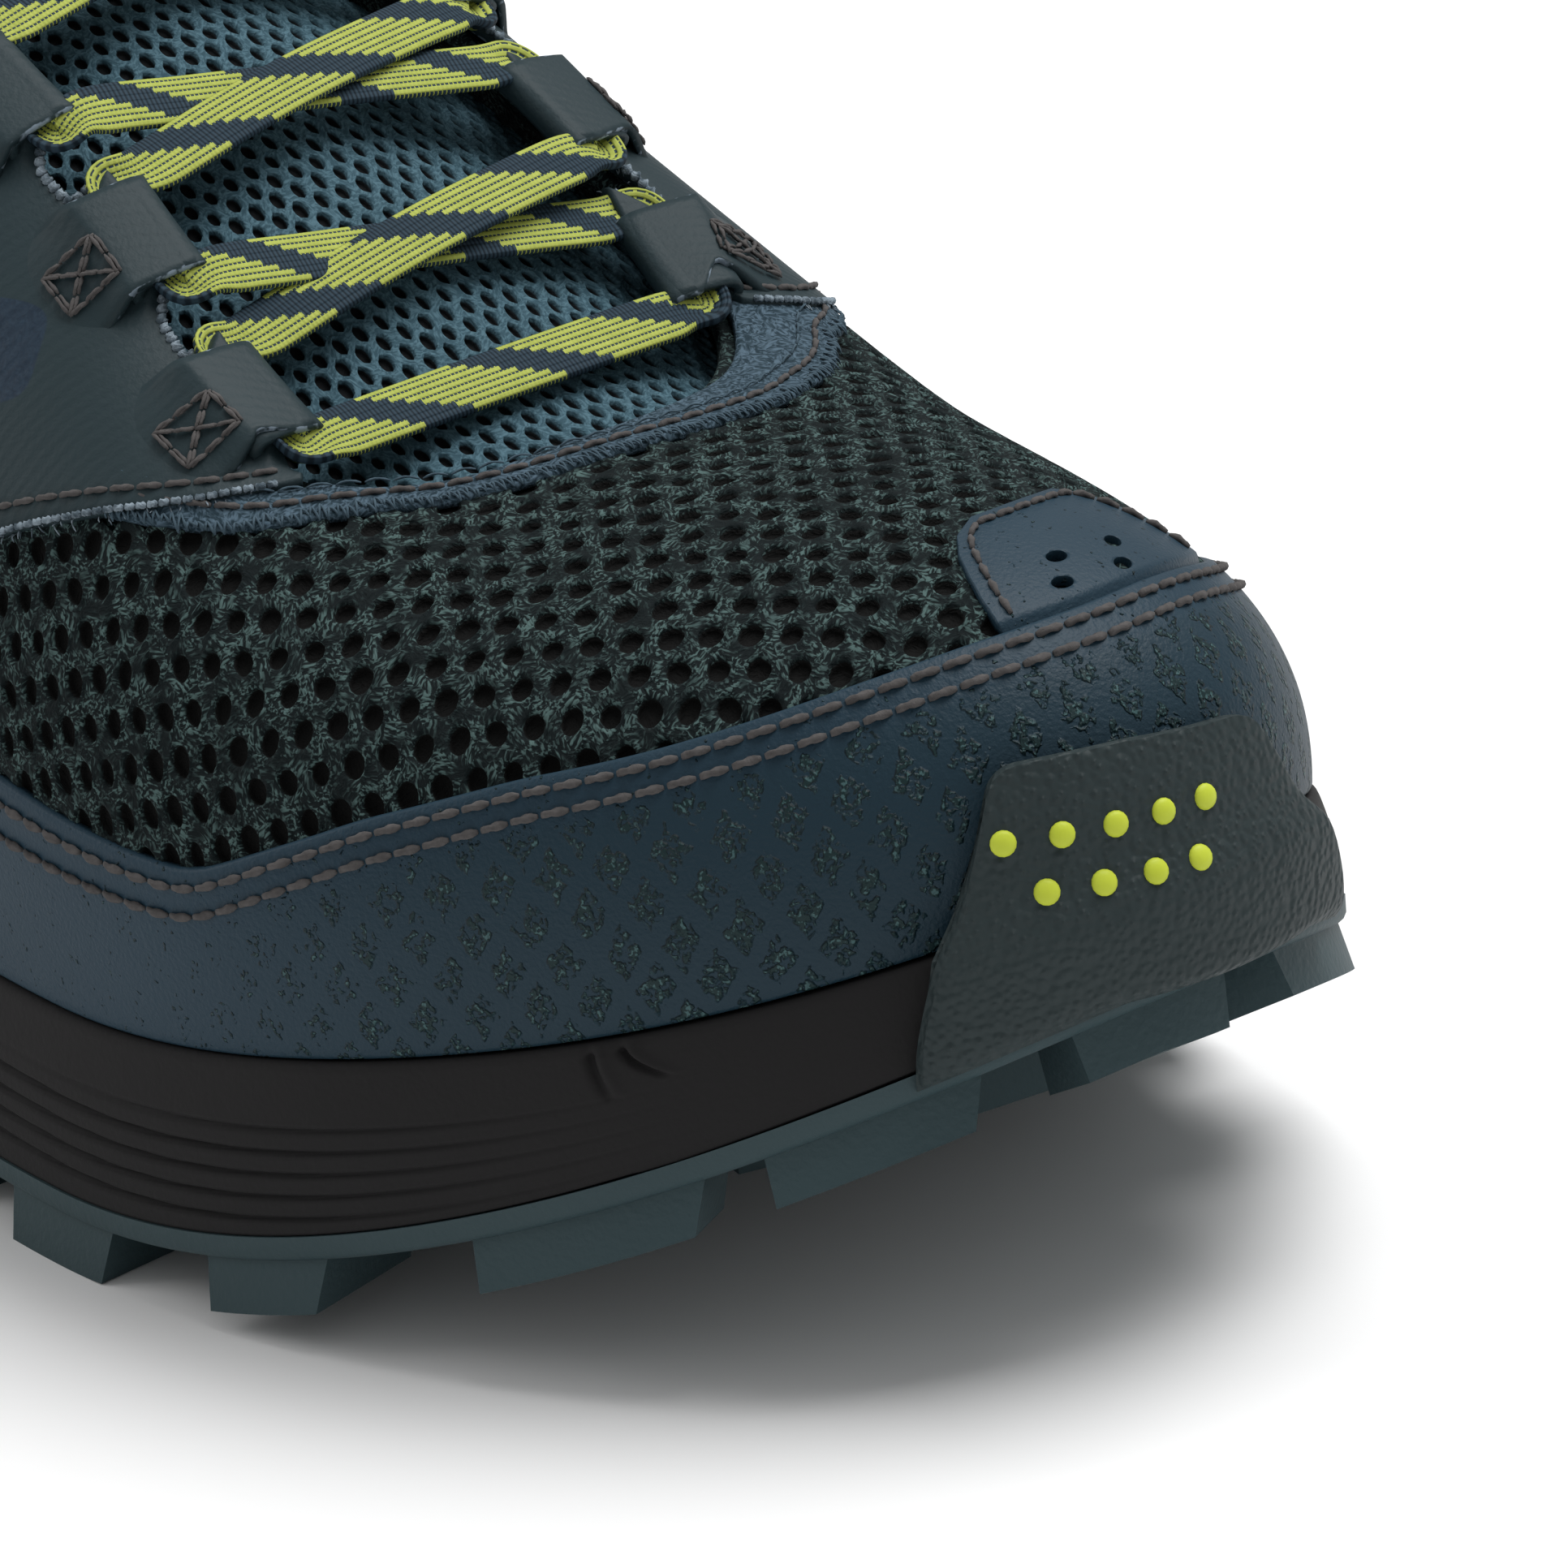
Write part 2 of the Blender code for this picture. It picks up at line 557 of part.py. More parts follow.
def bumper_block():
    """The rubber that climbs from the outsole over the midsole's edge on to the toe."""
    across = np.linspace(0.0, 1.0, BUMPER_COLUMNS)
    flat = np.full(BUMPER_COLUMNS, 1.0)
    top = BUMPER_TOP - BUMPER_DROP * across
    seat = 2.5 * OVERLAY_GAP + RAND_THICKNESS
    inner = MIDSOLE_INSET - 3.0 * CLEARANCE

    def columns(climb):
        first = BUMPER_FOOT[0] + (BUMPER_HEAD[0] - BUMPER_FOOT[0]) * climb
        last = BUMPER_FOOT[1] + (BUMPER_HEAD[1] - BUMPER_FOOT[1]) * climb
        return first + (last - first) * across

    def on_sole(climb, inset, height):
        return outline_points(columns(climb), flat * inset, height)

    def on_toe(part, out):
        return on_upper(columns(0.3 + 0.7 * part), top * part, flat * out)

    rim = columns(0.25)
    hoop = [
        on_sole(0.0, -0.5 * BUMPER_REACH, above_root(0.34)),
        on_sole(0.0, -0.9 * BUMPER_REACH, above_root(0.8)),
        on_sole(0.05, -BUMPER_REACH, above_root(2.2)),
        on_sole(0.25, -0.9 * BUMPER_REACH, rim_height(rim)),
        on_toe(0.32, seat + 1.25 * BUMPER_THICKNESS),
        on_toe(0.66, seat + BUMPER_THICKNESS),
        on_toe(0.97, seat + 0.9 * BUMPER_THICKNESS),
        on_toe(1.0, seat + 0.5 * BUMPER_THICKNESS),
        on_toe(1.0, seat),
        on_toe(0.66, seat),
        on_toe(0.32, seat),
        on_sole(0.25, inner, rim_height(rim) + 3.0 * CLEARANCE),
        on_sole(0.05, inner, above_root(1.5)),
        on_sole(0.0, inner, above_root(0.75)),
        on_sole(0.0, BUMPER_REACH, above_root(0.7)),
        on_sole(0.0, BUMPER_REACH, above_root(0.42)),
    ]
    return body_of_hoops("bumper", np.swapaxes(np.array(hoop), 0, 1), (0.1, 0.1, 0.1), 0.7)


def build_outsole(colour):
    share = ring_shares()
    flat = np.full(len(share), 1.0)
    rings = [
        outline_points(share, flat * (OUTSOLE_INSET + 0.3 * OUTSOLE_THICKNESS), root_height),
        outline_points(share, flat * OUTSOLE_INSET, lambda along: root_height(along) + 0.3 * OUTSOLE_THICKNESS),
        outline_points(share, flat * OUTSOLE_INSET, outsole_top),
    ]
    outsole = body_of_rings("outsole", rings, colour, 0.7, lids=(root_height, outsole_top))
    lugs = [edge_lug_block(i, *row) for i, row in enumerate(EDGE_LUGS)]
    lugs += [arrow_lug_block(i, *row) for i, row in enumerate(ARROW_LUGS)]
    return join_solids(outsole, [bumper_block()] + lugs)


# Upper

def wall_thickness(share, up):
    """The upper's wall, padded round the ankle and the heel."""
    from_heel = np.minimum(share, 1.0 - share)
    ankle = ramp(-from_heel, -0.21, -0.15)
    return UPPER_WALL + COLLAR_PADDING * ankle * ramp(up, 0.45, 0.80)


def build_upper(colour):
    share = ring_shares()
    flat = np.full(len(share), 1.0)
    foot = footbed_height(section_at(share)[:, 0]) + CLEARANCE
    skirt = UPPER_INSET + SKIRT_INSET
    outer = [outline_points(share, flat * skirt, foot)]
    inner = [outline_points(share, flat * (skirt + UPPER_WALL), foot)]
    for up in UPPER_ROWS:
        wall = wall_thickness(share, up)
        outer.append(on_upper(share, flat * up, flat * 0.0))
        inner.append(on_upper(share, flat * up, -wall))
    top = on_upper(share, flat, -0.5 * wall_thickness(share, 1.0))
    edge = upper_surface(share, flat * 1.01) - upper_surface(share, flat)
    edge = edge / np.linalg.norm(edge, axis=1, keepdims=True)
    top = top + edge * (0.35 * wall_thickness(share, 1.0))[:, None]
    rings = outer + [top] + inner[::-1]
    return body_of_rings("upper", rings, colour, 0.9)


def overlay(name, share, low, high, rows, thickness, colour, roughness, gap=OVERLAY_GAP):
    """A sheet on the upper between two edges given as shares up the wall, its rows closest near the lower edge."""
    outer, inner = [], []
    for row in range(rows + 1):
        far = row / rows
        up = low + (high - low) * (0.75 * far + 0.25 * far * far)
        outer.append(on_upper(share, up, np.full(len(share), gap + thickness)))
        inner.append(on_upper(share, up, np.full(len(share), gap)))
    return body_of_sheet(name, outer, inner, colour, roughness)


def rim_gap(share):
    """How far up the wall an overlay starts, clear of the sole's rim."""
    wall = 3.0 * (section_at(share)[:, 5] - rim_height(share)) * section_at(share)[:, 6]
    return 2.0 * OVERLAY_GAP / wall


def build_rand(colour):
    rows = columns_of(RAND, RAND_NAMES)
    margin = CLEARANCE / OUTLINE_LENGTH
    share = shares_between(rows["share"][0] + margin, rows["share"][-1] - margin)
    top = np.interp(share, rows["share"], rows["top"])
    return overlay("rand", share, rim_gap(share), top, 5, RAND_THICKNESS, colour, 0.7)


def build_toe_patch(colour):
    """The rounded patch that runs on from the rand over the top of the toe."""
    outer, inner = [], []
    for up, first, last in TOE_PATCH:
        share = np.linspace(first, last, 8)
        height = np.full(len(share), up)
        outer.append(on_upper(share, height, np.full(len(share), OVERLAY_GAP + RAND_THICKNESS)))
        inner.append(on_upper(share, height, np.full(len(share), OVERLAY_GAP)))
    return body_of_sheet("toe_patch", outer, inner, colour, 0.7)


def build_heel_counter(colour):
    rows = columns_of(COUNTER, COUNTER_NAMES)
    margin = CLEARANCE / OUTLINE_LENGTH
    share = shares_between(rows["share"][0] + margin, rows["share"][-1] - margin)
    top = np.interp(share, rows["share"], rows["top"])
    return overlay("heel_counter", share, rim_gap(share), top, 4, COUNTER_THICKNESS, colour, 0.7)


def eyestay_line(side):
    """The eyestay's shares round the shoe and its lower edge, on the outer side (-1) or the inner side (+1)."""
    rows = columns_of(EYESTAY, EYESTAY_NAMES)
    share, low = rows["share"], rows["low"]
    if side > 0:
        share = INNER_TIP + (share[-1] - share) * INNER_STRETCH
        share, low = share[::-1], low[::-1]
    return share, low


def build_vamp_seam(colour):
    """The raised band where the vamp's edge is oversewn, round the front of the throat."""
    rows = columns_of(SEAM, SEAM_NAMES)
    share = shares_between(rows["share"][0], rows["share"][-1])
    low = np.interp(share, rows["share"], rows["low"])
    small = 1e-3
    per_metre = small / np.linalg.norm(upper_surface(share, low + small) - upper_surface(share, low), axis=1)
    high = np.minimum(low + SEAM_WIDTH * per_metre, 1.0)
    for side in (-1, 1):
        edge, edge_low = eyestay_line(side)
        limit = np.interp(share, edge, edge_low, left=2.0, right=2.0)
        high = np.minimum(high, limit - 2.0 * CLEARANCE * per_metre)
    return overlay("vamp_seam", share, low, high, 2, SEAM_THICKNESS, colour, 0.8)


# Lace loops and laces

def throat_edge(side):
    """The opening's edge beside the laces, from its front to the collar, with its shares and lengths."""
    share = np.linspace(THROAT_FRONT, 0.20 if side < 0 else 0.80, 400)
    points = upper_surface(share, np.ones(len(share)))
    length = np.concatenate(([0.0], np.cumsum(np.linalg.norm(np.diff(points, axis=0), axis=1))))
    return share, length


def loop_frame(side, row):
    """Centre of a lace loop, and unit vectors along the throat to the toe, in towards the laces, and out."""
    share, length = throat_edge(side)
    where = FIRST_LOOP + row * LOOP_PITCH
    near, at, far = np.interp((where - LOOP_LENGTH / 2.0, where, where + LOOP_LENGTH / 2.0), length, share)
    ones = np.ones(3)
    front, edge, back = upper_surface(np.array((near, at, far)), ones)
    forward = (front - back) / np.linalg.norm(front - back)
    out = upper_normal(np.array(at), np.array(1.0))
    out = out - forward * np.dot(out, forward)
    out /= np.linalg.norm(out)
    across = np.cross(out, forward) * -side
    lift = EYESTAY_GAP + 0.2 * EYESTAY_THICKNESS + LOOP_HEIGHT / 2.0
    return edge + across * LOOP_REACH + out * lift, forward, across, out


def flat_hoop(width, height, count):
    """A rounded flat hoop of points round the origin, wide along the first axis."""
    angle = 2.0 * math.pi * (np.arange(count) + 0.5) / count
    wide = np.sign(np.cos(angle)) * np.abs(np.cos(angle)) ** 0.55 * width / 2.0
    high = np.sign(np.sin(angle)) * np.abs(np.sin(angle)) ** 0.70 * height / 2.0
    return np.column_stack((wide, high))


def loop_block(name, side, row, colour):
    """A lace loop: a flat sleeve along the throat, open at both ends."""
    centre, forward, across, out = loop_frame(side, row)
    outer = flat_hoop(LOOP_WIDTH, LOOP_HEIGHT, 8)
    inner = flat_hoop(LOOP_SLOT_WIDTH, LOOP_SLOT_HEIGHT, 8)
    mesh = bmesh.new()
    rows = []
    for hoop, end in ((outer, -1), (outer, 1), (inner, 1), (inner, -1)):
        points = centre + hoop[:, :1] * across + hoop[:, 1:] * out + end * forward * LOOP_LENGTH / 2.0
        rows.append(ring_of_verts(mesh, points))
    for low, high in zip(rows, rows[1:] + rows[:1]):
        bridge(mesh, low, high, closed=True)
    return finish_object(name, mesh, colour, 0.7)


def build_eyestay(name, side, colour):
    """The band beside the laces, with its lace loops."""
    rows, low = eyestay_line(side)
    share = shares_between(rows[0], rows[-1])
    edge = np.interp(share, rows, low)
    ends = ramp(share, rows[0], rows[0] + 0.008) * ramp(-share, -rows[-1], -rows[-1] + 0.008)
    high = 1.0 + (EYESTAY_TOP - 1.0) * ends
    sheet = overlay(name, share, edge, high, 5, EYESTAY_THICKNESS, colour, 0.7, gap=EYESTAY_GAP)
    loops = [loop_block(f"{name}_loop_{row}", side, row, colour) for row in range(LOOP_ROWS)]
    return join_solids(sheet, loops)


def lace_strip(name, start, end, up, lift, colour):
    """A flat strip of lace from start to end, arched over the tongue in the middle."""
    steps = 4
    run = end - start
    ahead = run / np.linalg.norm(run)
    wide = np.cross(up, ahead)
    wide /= np.linalg.norm(wide)
    high = np.cross(ahead, wide)
    hoop = flat_hoop(LACE_WIDTH, LACE_THICKNESS, 6)
    hoops = []
    for step in range(steps + 1):
        share = step / steps
        centre = start + run * share + high * (lift * math.sin(math.pi * share))
        hoops.append(centre + hoop[:, :1] * wide + hoop[:, 1:] * high)
    return body_of_hoops(name, hoops, colour, 0.8)


def lace_end(side, row, end):
    """Where a lace leaves a loop for the other side: at its front (+1) or back (-1) end."""
    centre, forward, across, out = loop_frame(side, row)
    free = LOOP_WIDTH / 2.0 + 2.5 * CLEARANCE
    return centre + across * free + end * forward * LOOP_LENGTH / 2.0, out


def build_laces(colour):
    """The bar across the first pair of loops, and a crossing between each pair and the next."""
    left, left_up = lace_end(-1, 0, 1)
    right, right_up = lace_end(1, 0, 1)
    lace_strip("lace_bar", left, right, left_up + right_up, 0.2 * LACE_THICKNESS, colour)
    for row in range(LOOP_ROWS - 1):
        left, left_up = lace_end(-1, row, -1)
        right, right_up = lace_end(1, row + 1, 1)
        over = lace_strip(f"lace_cross_{row + 1}", left, right, left_up + right_up, 1.1 * LACE_THICKNESS, colour)
        right, right_up = lace_end(1, row, -1)
        left, left_up = lace_end(-1, row + 1, 1)
        under = lace_strip("lace_under", left, right, left_up + right_up, 0.3 * LACE_THICKNESS, colour)
        join_solids(over, [under])


def build_tongue(colour):
    """The padded tongue under the laces, from below the vamp's edge to above the collar."""
    rows = columns_of(TONGUE, TONGUE_NAMES)
    stations = np.linspace(0.0, len(TONGUE) - 1.0, 15)
    value = {name: np.interp(stations, np.arange(len(TONGUE)), rows[name]) for name in TONGUE_NAMES}
    half = BALL_WIDTH / 2.0
    outer, inner = [], []
    for i in range(len(stations)):
        across = np.linspace(-1.0, 1.0, 9)
        top = value["crown"][i] * INSTEP_HEIGHT - value["drop"][i] * INSTEP_HEIGHT * across ** 2
        side = across * value["half"][i] * half + TONGUE_OFFSET
        along = np.full(9, value["along"][i] * SOLE_LENGTH)
        thin = value["thickness"][i] * TONGUE_PADDING * (1.0 - 0.5 * across ** 4)
        points = np.column_stack((along, side, top))
        down = np.column_stack((along - 0.5 * thin, side, top - thin))
        outer.append(points[::-1])
        inner.append(down[::-1])
    return body_of_sheet("tongue", outer, inner, colour, 0.9)


def centre_on_origin():
    """Moves the whole shoe so that the middle of its box lies over the origin."""
    corners = np.array([item.matrix_world @ Vector(c) for item in bpy.data.objects for c in item.bound_box])
    middle = (corners.min(axis=0) + corners.max(axis=0)) / 2.0
    shift = Matrix.Translation((-middle[0], -middle[1], -corners.min(axis=0)[2]))
    for item in bpy.data.objects:
        item.data.transform(shift)


def main():
    clear_scene()
    build_outsole((0.055, 0.085, 0.095))
    build_midsole((0.02, 0.02, 0.02))
    build_insole((0.03, 0.03, 0.035))
    build_upper((0.02, 0.035, 0.035))
    build_tongue((0.03, 0.06, 0.08))
    build_rand((0.03, 0.055, 0.08))
    build_toe_patch((0.03, 0.055, 0.08))
    build_heel_counter((0.03, 0.055, 0.08))
    build_vamp_seam((0.06, 0.08, 0.1))
    build_eyestay("eyestay_outer", -1, (0.04, 0.055, 0.06))
    build_eyestay("eyestay_inner", 1, (0.04, 0.055, 0.06))
    build_laces((0.45, 0.52, 0.06))
    centre_on_origin()


main()
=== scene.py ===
import math

import bpy
import numpy as np
from mathutils import Matrix, Vector
from mathutils.bvhtree import BVHTree


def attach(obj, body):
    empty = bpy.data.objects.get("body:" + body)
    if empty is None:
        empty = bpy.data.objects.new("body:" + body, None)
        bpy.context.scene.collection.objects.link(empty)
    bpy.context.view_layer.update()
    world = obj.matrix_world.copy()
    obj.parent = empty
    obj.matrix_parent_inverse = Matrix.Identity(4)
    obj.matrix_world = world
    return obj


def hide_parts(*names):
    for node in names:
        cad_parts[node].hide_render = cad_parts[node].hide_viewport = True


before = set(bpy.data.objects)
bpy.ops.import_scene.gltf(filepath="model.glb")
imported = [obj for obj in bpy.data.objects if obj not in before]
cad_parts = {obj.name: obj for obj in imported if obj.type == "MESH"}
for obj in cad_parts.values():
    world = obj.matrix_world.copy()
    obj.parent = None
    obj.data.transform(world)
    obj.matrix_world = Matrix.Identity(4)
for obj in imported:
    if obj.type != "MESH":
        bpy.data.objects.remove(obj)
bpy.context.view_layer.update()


# Camera
# It looks at the toe from in front and from the outer side, close up, turned a little, with a long lens, so
# that only the front half of the shoe is in the picture.

CAMERA_TURN = math.radians(48.5)
CAMERA_RISE = math.radians(22.0)
CAMERA_ROLL = math.radians(-4.0)
CAMERA_DISTANCE = 0.8
TARGET = np.array((0.1356, 0.0101, 0.040))
PICTURE = 1932
TARGET_PIXEL = (1427, 1082)
PIXELS_PER_METRE = 13900.0
SENSOR = 36.0

back = np.array((
    math.sin(CAMERA_TURN) * math.cos(CAMERA_RISE),
    -math.cos(CAMERA_TURN) * math.cos(CAMERA_RISE),
    math.sin(CAMERA_RISE),
))
level = np.array((math.cos(CAMERA_TURN), math.sin(CAMERA_TURN), 0.0))
above = np.cross(back, level)
right = level * math.cos(CAMERA_ROLL) + above * math.sin(CAMERA_ROLL)
upright = above * math.cos(CAMERA_ROLL) - level * math.sin(CAMERA_ROLL)
camera_data = bpy.data.cameras.new("camera")
camera_data.sensor_width = SENSOR
camera_data.lens = PIXELS_PER_METRE * CAMERA_DISTANCE * SENSOR / PICTURE
camera_data.shift_x = (PICTURE / 2 - TARGET_PIXEL[0]) / PICTURE
camera_data.shift_y = (TARGET_PIXEL[1] - PICTURE / 2) / PICTURE
camera_data.clip_start = 0.01
camera_data.clip_end = 10.0
camera = bpy.data.objects.new("camera", camera_data)
bpy.context.scene.collection.objects.link(camera)
eye = TARGET + back * CAMERA_DISTANCE
camera_axes = np.column_stack((right, upright, back, eye)).tolist()
camera.matrix_world = Matrix((*camera_axes, (0.0, 0.0, 0.0, 1.0)))
bpy.context.scene.camera = camera


# Floor and light
# The shoe stands on a pale table in a white room. A large soft panel hangs above it, over its toe and inner
# side, and a weak one stands off its heel on the outer side.


def select_only(*pieces):
    """Selects the given pieces and nothing else, and makes the first of them active."""
    bpy.ops.object.select_all(action="DESELECT")
    for piece in pieces:
        piece.select_set(True)
        bpy.context.view_layer.objects.active = pieces[0]


select_only()
bpy.ops.mesh.primitive_plane_add(size=6.0, location=(0.0, 0.0, 0.0))
floor = bpy.context.object
floor.name = "floor"


def new_material(name, roughness):
    """A material with its Principled shader, and the nodes and links to build on."""
    material = bpy.data.materials.new(name)
    material.use_nodes = True
    shader = material.node_tree.nodes["Principled BSDF"]
    shader.inputs["Roughness"].default_value = roughness
    shader.inputs["Specular IOR Level"].default_value = 0.2
    return material, shader


def node(material, kind, inputs, **settings):
    """Adds a node with its settings. Each of its inputs is given a value or the output of another node."""
    made = material.node_tree.nodes.new(kind)
    for name, value in settings.items():
        setattr(made, name, value)
    for name, value in inputs.items():
        if isinstance(value, bpy.types.NodeSocket):
            material.node_tree.links.new(value, made.inputs[name])
        else:
            made.inputs[name].default_value = value
    return made


def reckon(material, operation, *values):
    return node(material, "ShaderNodeMath", dict(enumerate(values)), operation=operation).outputs[0]


def value_of(material, name):
    return node(material, "ShaderNodeAttribute", {}, attribute_name=name).outputs["Fac"]


def places(material):
    return node(material, "ShaderNodeTexCoord", {}).outputs["Object"]


def grain(material, size, detail=2.0):
    """Noise whose spots are about the given size."""
    where = {"Vector": places(material), "Scale": 0.5 / size, "Detail": detail}
    return node(material, "ShaderNodeTexNoise", where).outputs[0]


def stripes(material, where, pitch):
    """Even stripes across the first axis of a place."""
    where = {"Vector": where, "Scale": 0.314159 / pitch, "Distortion": 0.6, "Detail": 1.0}
    return node(material, "ShaderNodeTexWave", where).outputs["Fac"]


def strands(material, cell, pitch):
    """Short strands of fibre: stretched noise that lies another way in each small cell."""
    where = places(material)
    cells = node(material, "ShaderNodeTexVoronoi", {"Vector": where, "Scale": 1.0 / cell})
    turn = reckon(material, "MULTIPLY", cells.outputs["Color"], 9.0)
    turning = {"Vector": where, "Axis": (0.4, -0.3, 0.9), "Angle": turn}
    turned = node(material, "ShaderNodeVectorRotate", turning)
    drawn = node(material, "ShaderNodeMapping", {"Vector": turned.outputs[0], "Scale": (0.22, 1.0, 1.0)})
    noise = {"Vector": drawn.outputs[0], "Scale": 0.5 / pitch, "Detail": 1.0}
    return node(material, "ShaderNodeTexNoise", noise).outputs[0]


def step_up(material, value, low, high):
    """0 below low, 1 above high, and a smooth rise between."""
    where = {"Value": value, "From Min": low, "From Max": high}
    return node(material, "ShaderNodeMapRange", where, interpolation_type="SMOOTHSTEP").outputs[0]


def blend(material, share, first, second):
    """A colour between two, by a share that runs from 0 to 1."""
    colours = [item if isinstance(item, bpy.types.NodeSocket) else (*item, 1.0) for item in (first, second)]
    inputs = {0: share, 6: colours[0], 7: colours[1]}
    return node(material, "ShaderNodeMix", inputs, data_type="RGBA").outputs[2]


def paint(material, shader, colour, height, relief):
    """Feeds a shader with a colour, and with bumps whose relief is given in metres."""
    bump = node(material, "ShaderNodeBump", {"Height": height, "Distance": relief})
    material.node_tree.links.new(colour, shader.inputs["Base Color"])
    material.node_tree.links.new(bump.outputs[0], shader.inputs["Normal"])


def speckled(name, roughness, spot, dark, light, bump, relief, detail=2.0):
    """A plain finish: spots of the given size between two colours, and bumps of their own size and relief."""
    material, shader = new_material(name, roughness)
    tone = blend(material, grain(material, spot), dark, light)
    paint(material, shader, tone, grain(material, bump, detail), relief)
    return material


floor_paint = speckled("floor_paint", 0.9, 0.4, (0.90, 0.90, 0.90), (0.92, 0.92, 0.92), 0.0005, 0.00001)
floor.data.materials.append(floor_paint)

world = bpy.data.worlds.new("room")
bpy.context.scene.world = world
world.use_nodes = True
world.node_tree.nodes["Background"].inputs["Color"].default_value = (1.0, 1.0, 1.0, 1.0)
world.node_tree.nodes["Background"].inputs["Strength"].default_value = 0.40
bpy.context.scene.view_settings.view_transform = "Standard"

for name, place, size, power in (
    ("panel_above", (0.20, 0.45, 1.25), 0.9, 18.0),
    ("panel_left", (-0.9, -0.7, 0.7), 0.8, 3.5),
):
    panel = bpy.data.lights.new(name, "AREA")
    panel.size = size
    panel.energy = power
    lamp = bpy.data.objects.new(name, panel)
    bpy.context.scene.collection.objects.link(lamp)
    lamp.location = place
    lamp.rotation_euler = (Vector((0.05, 0.0, 0.03)) - Vector(place)).to_track_quat("-Z", "Y").to_euler()


# The last
# The shoe is made on a last. Its outline, its rim and the opening come from one table of sections, read round
# the shoe from the heel by the outer side, and every piece of the upper is a part of the face they give.

SOLE_LENGTH = 0.296
BALL_WIDTH = 0.106
HEEL_HEIGHT = 0.104
INSTEP_HEIGHT = 0.113
HEEL_STACK = 0.0305
TOE_SPRING = 0.0298
HEEL_BEVEL = 0.006
ARCH_RISE = 0.003
LUG_DEPTH = 0.005
OUTSOLE_THICKNESS = 0.0025
UPPER_INSET = 0.0045
SKIRT_INSET = 0.0005
CLEARANCE = 0.0003
HALF = BALL_WIDTH / 2.0
PLACE = np.array((-0.149412, 0.000109, 0.0))
SECTION_NAMES = (
    "along", "side", "rim", "open_along", "open_side", "of_heel", "of_instep", "rise", "lean", "reach",
    "slope",
)
SECTIONS = (
    (0.000, 0.000, 1.350, 0.041, 0.000, 1.000, 0.000, 0.45, 0.057, 0.30, 80),
    (0.020, -0.396, 1.330, 0.047, -0.226, 0.980, 0.000, 0.45, 0.057, 0.30, 75),
    (0.081, -0.642, 1.270, 0.088, -0.415, 0.885, 0.000, 0.45, 0.057, 0.30, 70),
    (0.186, -0.736, 1.180, 0.176, -0.509, 0.750, 0.000, 0.45, 0.057, 0.30, 65),
    (0.321, -0.755, 1.082, 0.294, -0.509, 0.420, 0.370, 0.50, 0.075, 0.35, 60),
    (0.456, -0.811, 0.951, 0.426, -0.453, 0.000, 1.000, 0.50, 0.113, 0.50, 45),
    (0.574, -0.925, 0.836, 0.547, -0.472, 0.000, 0.903, 0.52, 0.151, 0.60, 38),
    (0.676, -1.000, 0.820, 0.635, -0.475, 0.000, 0.772, 0.55, 0.151, 0.65, 32),
    (0.770, -0.972, 0.792, 0.703, -0.515, 0.000, 0.656, 0.62, 0.132, 0.62, 22),
    (0.851, -0.830, 0.712, 0.740, -0.396, 0.000, 0.628, 0.75, 0.094, 0.60, 12),
    (0.919, -0.623, 0.615, 0.753, -0.245, 0.000, 0.628, 0.85, 0.075, 0.60, 6),
    (0.970, -0.340, 0.534, 0.757, -0.094, 0.000, 0.633, 0.95, 0.057, 0.60, 2),
    (1.000, 0.000, 0.498, 0.757, 0.057, 0.000, 0.633, 1.00, 0.038, 0.60, 0),
    (0.997, 0.321, 0.518, 0.753, 0.208, 0.000, 0.633, 1.00, 0.038, 0.60, 2),
    (0.963, 0.623, 0.569, 0.743, 0.330, 0.000, 0.635, 0.80, 0.047, 0.60, 6),
    (0.905, 0.840, 0.673, 0.726, 0.425, 0.000, 0.646, 0.61, 0.057, 0.60, 13),
    (0.828, 0.962, 0.785, 0.699, 0.491, 0.000, 0.677, 0.50, 0.066, 0.60, 24),
    (0.726, 0.991, 0.890, 0.642, 0.494, 0.000, 0.770, 0.47, 0.094, 0.60, 33),
    (0.625, 0.849, 0.984, 0.564, 0.481, 0.000, 0.881, 0.49, 0.113, 0.60, 38),
    (0.507, 0.660, 1.082, 0.440, 0.457, 0.000, 1.000, 0.52, 0.113, 0.50, 45),
    (0.389, 0.585, 1.180, 0.355, 0.480, 0.420, 0.472, 0.50, 0.075, 0.35, 60),
    (0.270, 0.642, 1.220, 0.277, 0.509, 0.790, 0.000, 0.45, 0.057, 0.30, 65),
    (0.152, 0.708, 1.250, 0.169, 0.491, 0.760, 0.000, 0.45, 0.057, 0.30, 65),
    (0.068, 0.604, 1.310, 0.088, 0.396, 0.885, 0.000, 0.45, 0.057, 0.30, 70),
    (0.017, 0.358, 1.335, 0.047, 0.226, 0.980, 0.000, 0.45, 0.057, 0.30, 75),
)
FOOTBED = (
    (0.00, 1.00), (0.14, 1.00), (0.24, 0.98), (0.34, 0.89), (0.46, 0.74), (0.57, 0.63),
    (0.68, 0.59), (0.77, 0.545), (0.85, 0.45), (0.92, 0.385), (1.00, 0.33),
)


def columns_of(table):
    return np.array(table, float).T


def ramp(value, low, high):
    """0 below low, 1 above high, and a smooth rise between."""
    share = np.clip((value - low) / (high - low), 0.0, 1.0)
    return share * share * (3.0 - 2.0 * share)


def spring(along):
    """Rise of the whole front of the shoe towards the toe."""
    share = (along / SOLE_LENGTH - 0.676) / (1.0 - 0.676)
    return TOE_SPRING * np.clip(share, 0.0, 1.0) ** 1.9


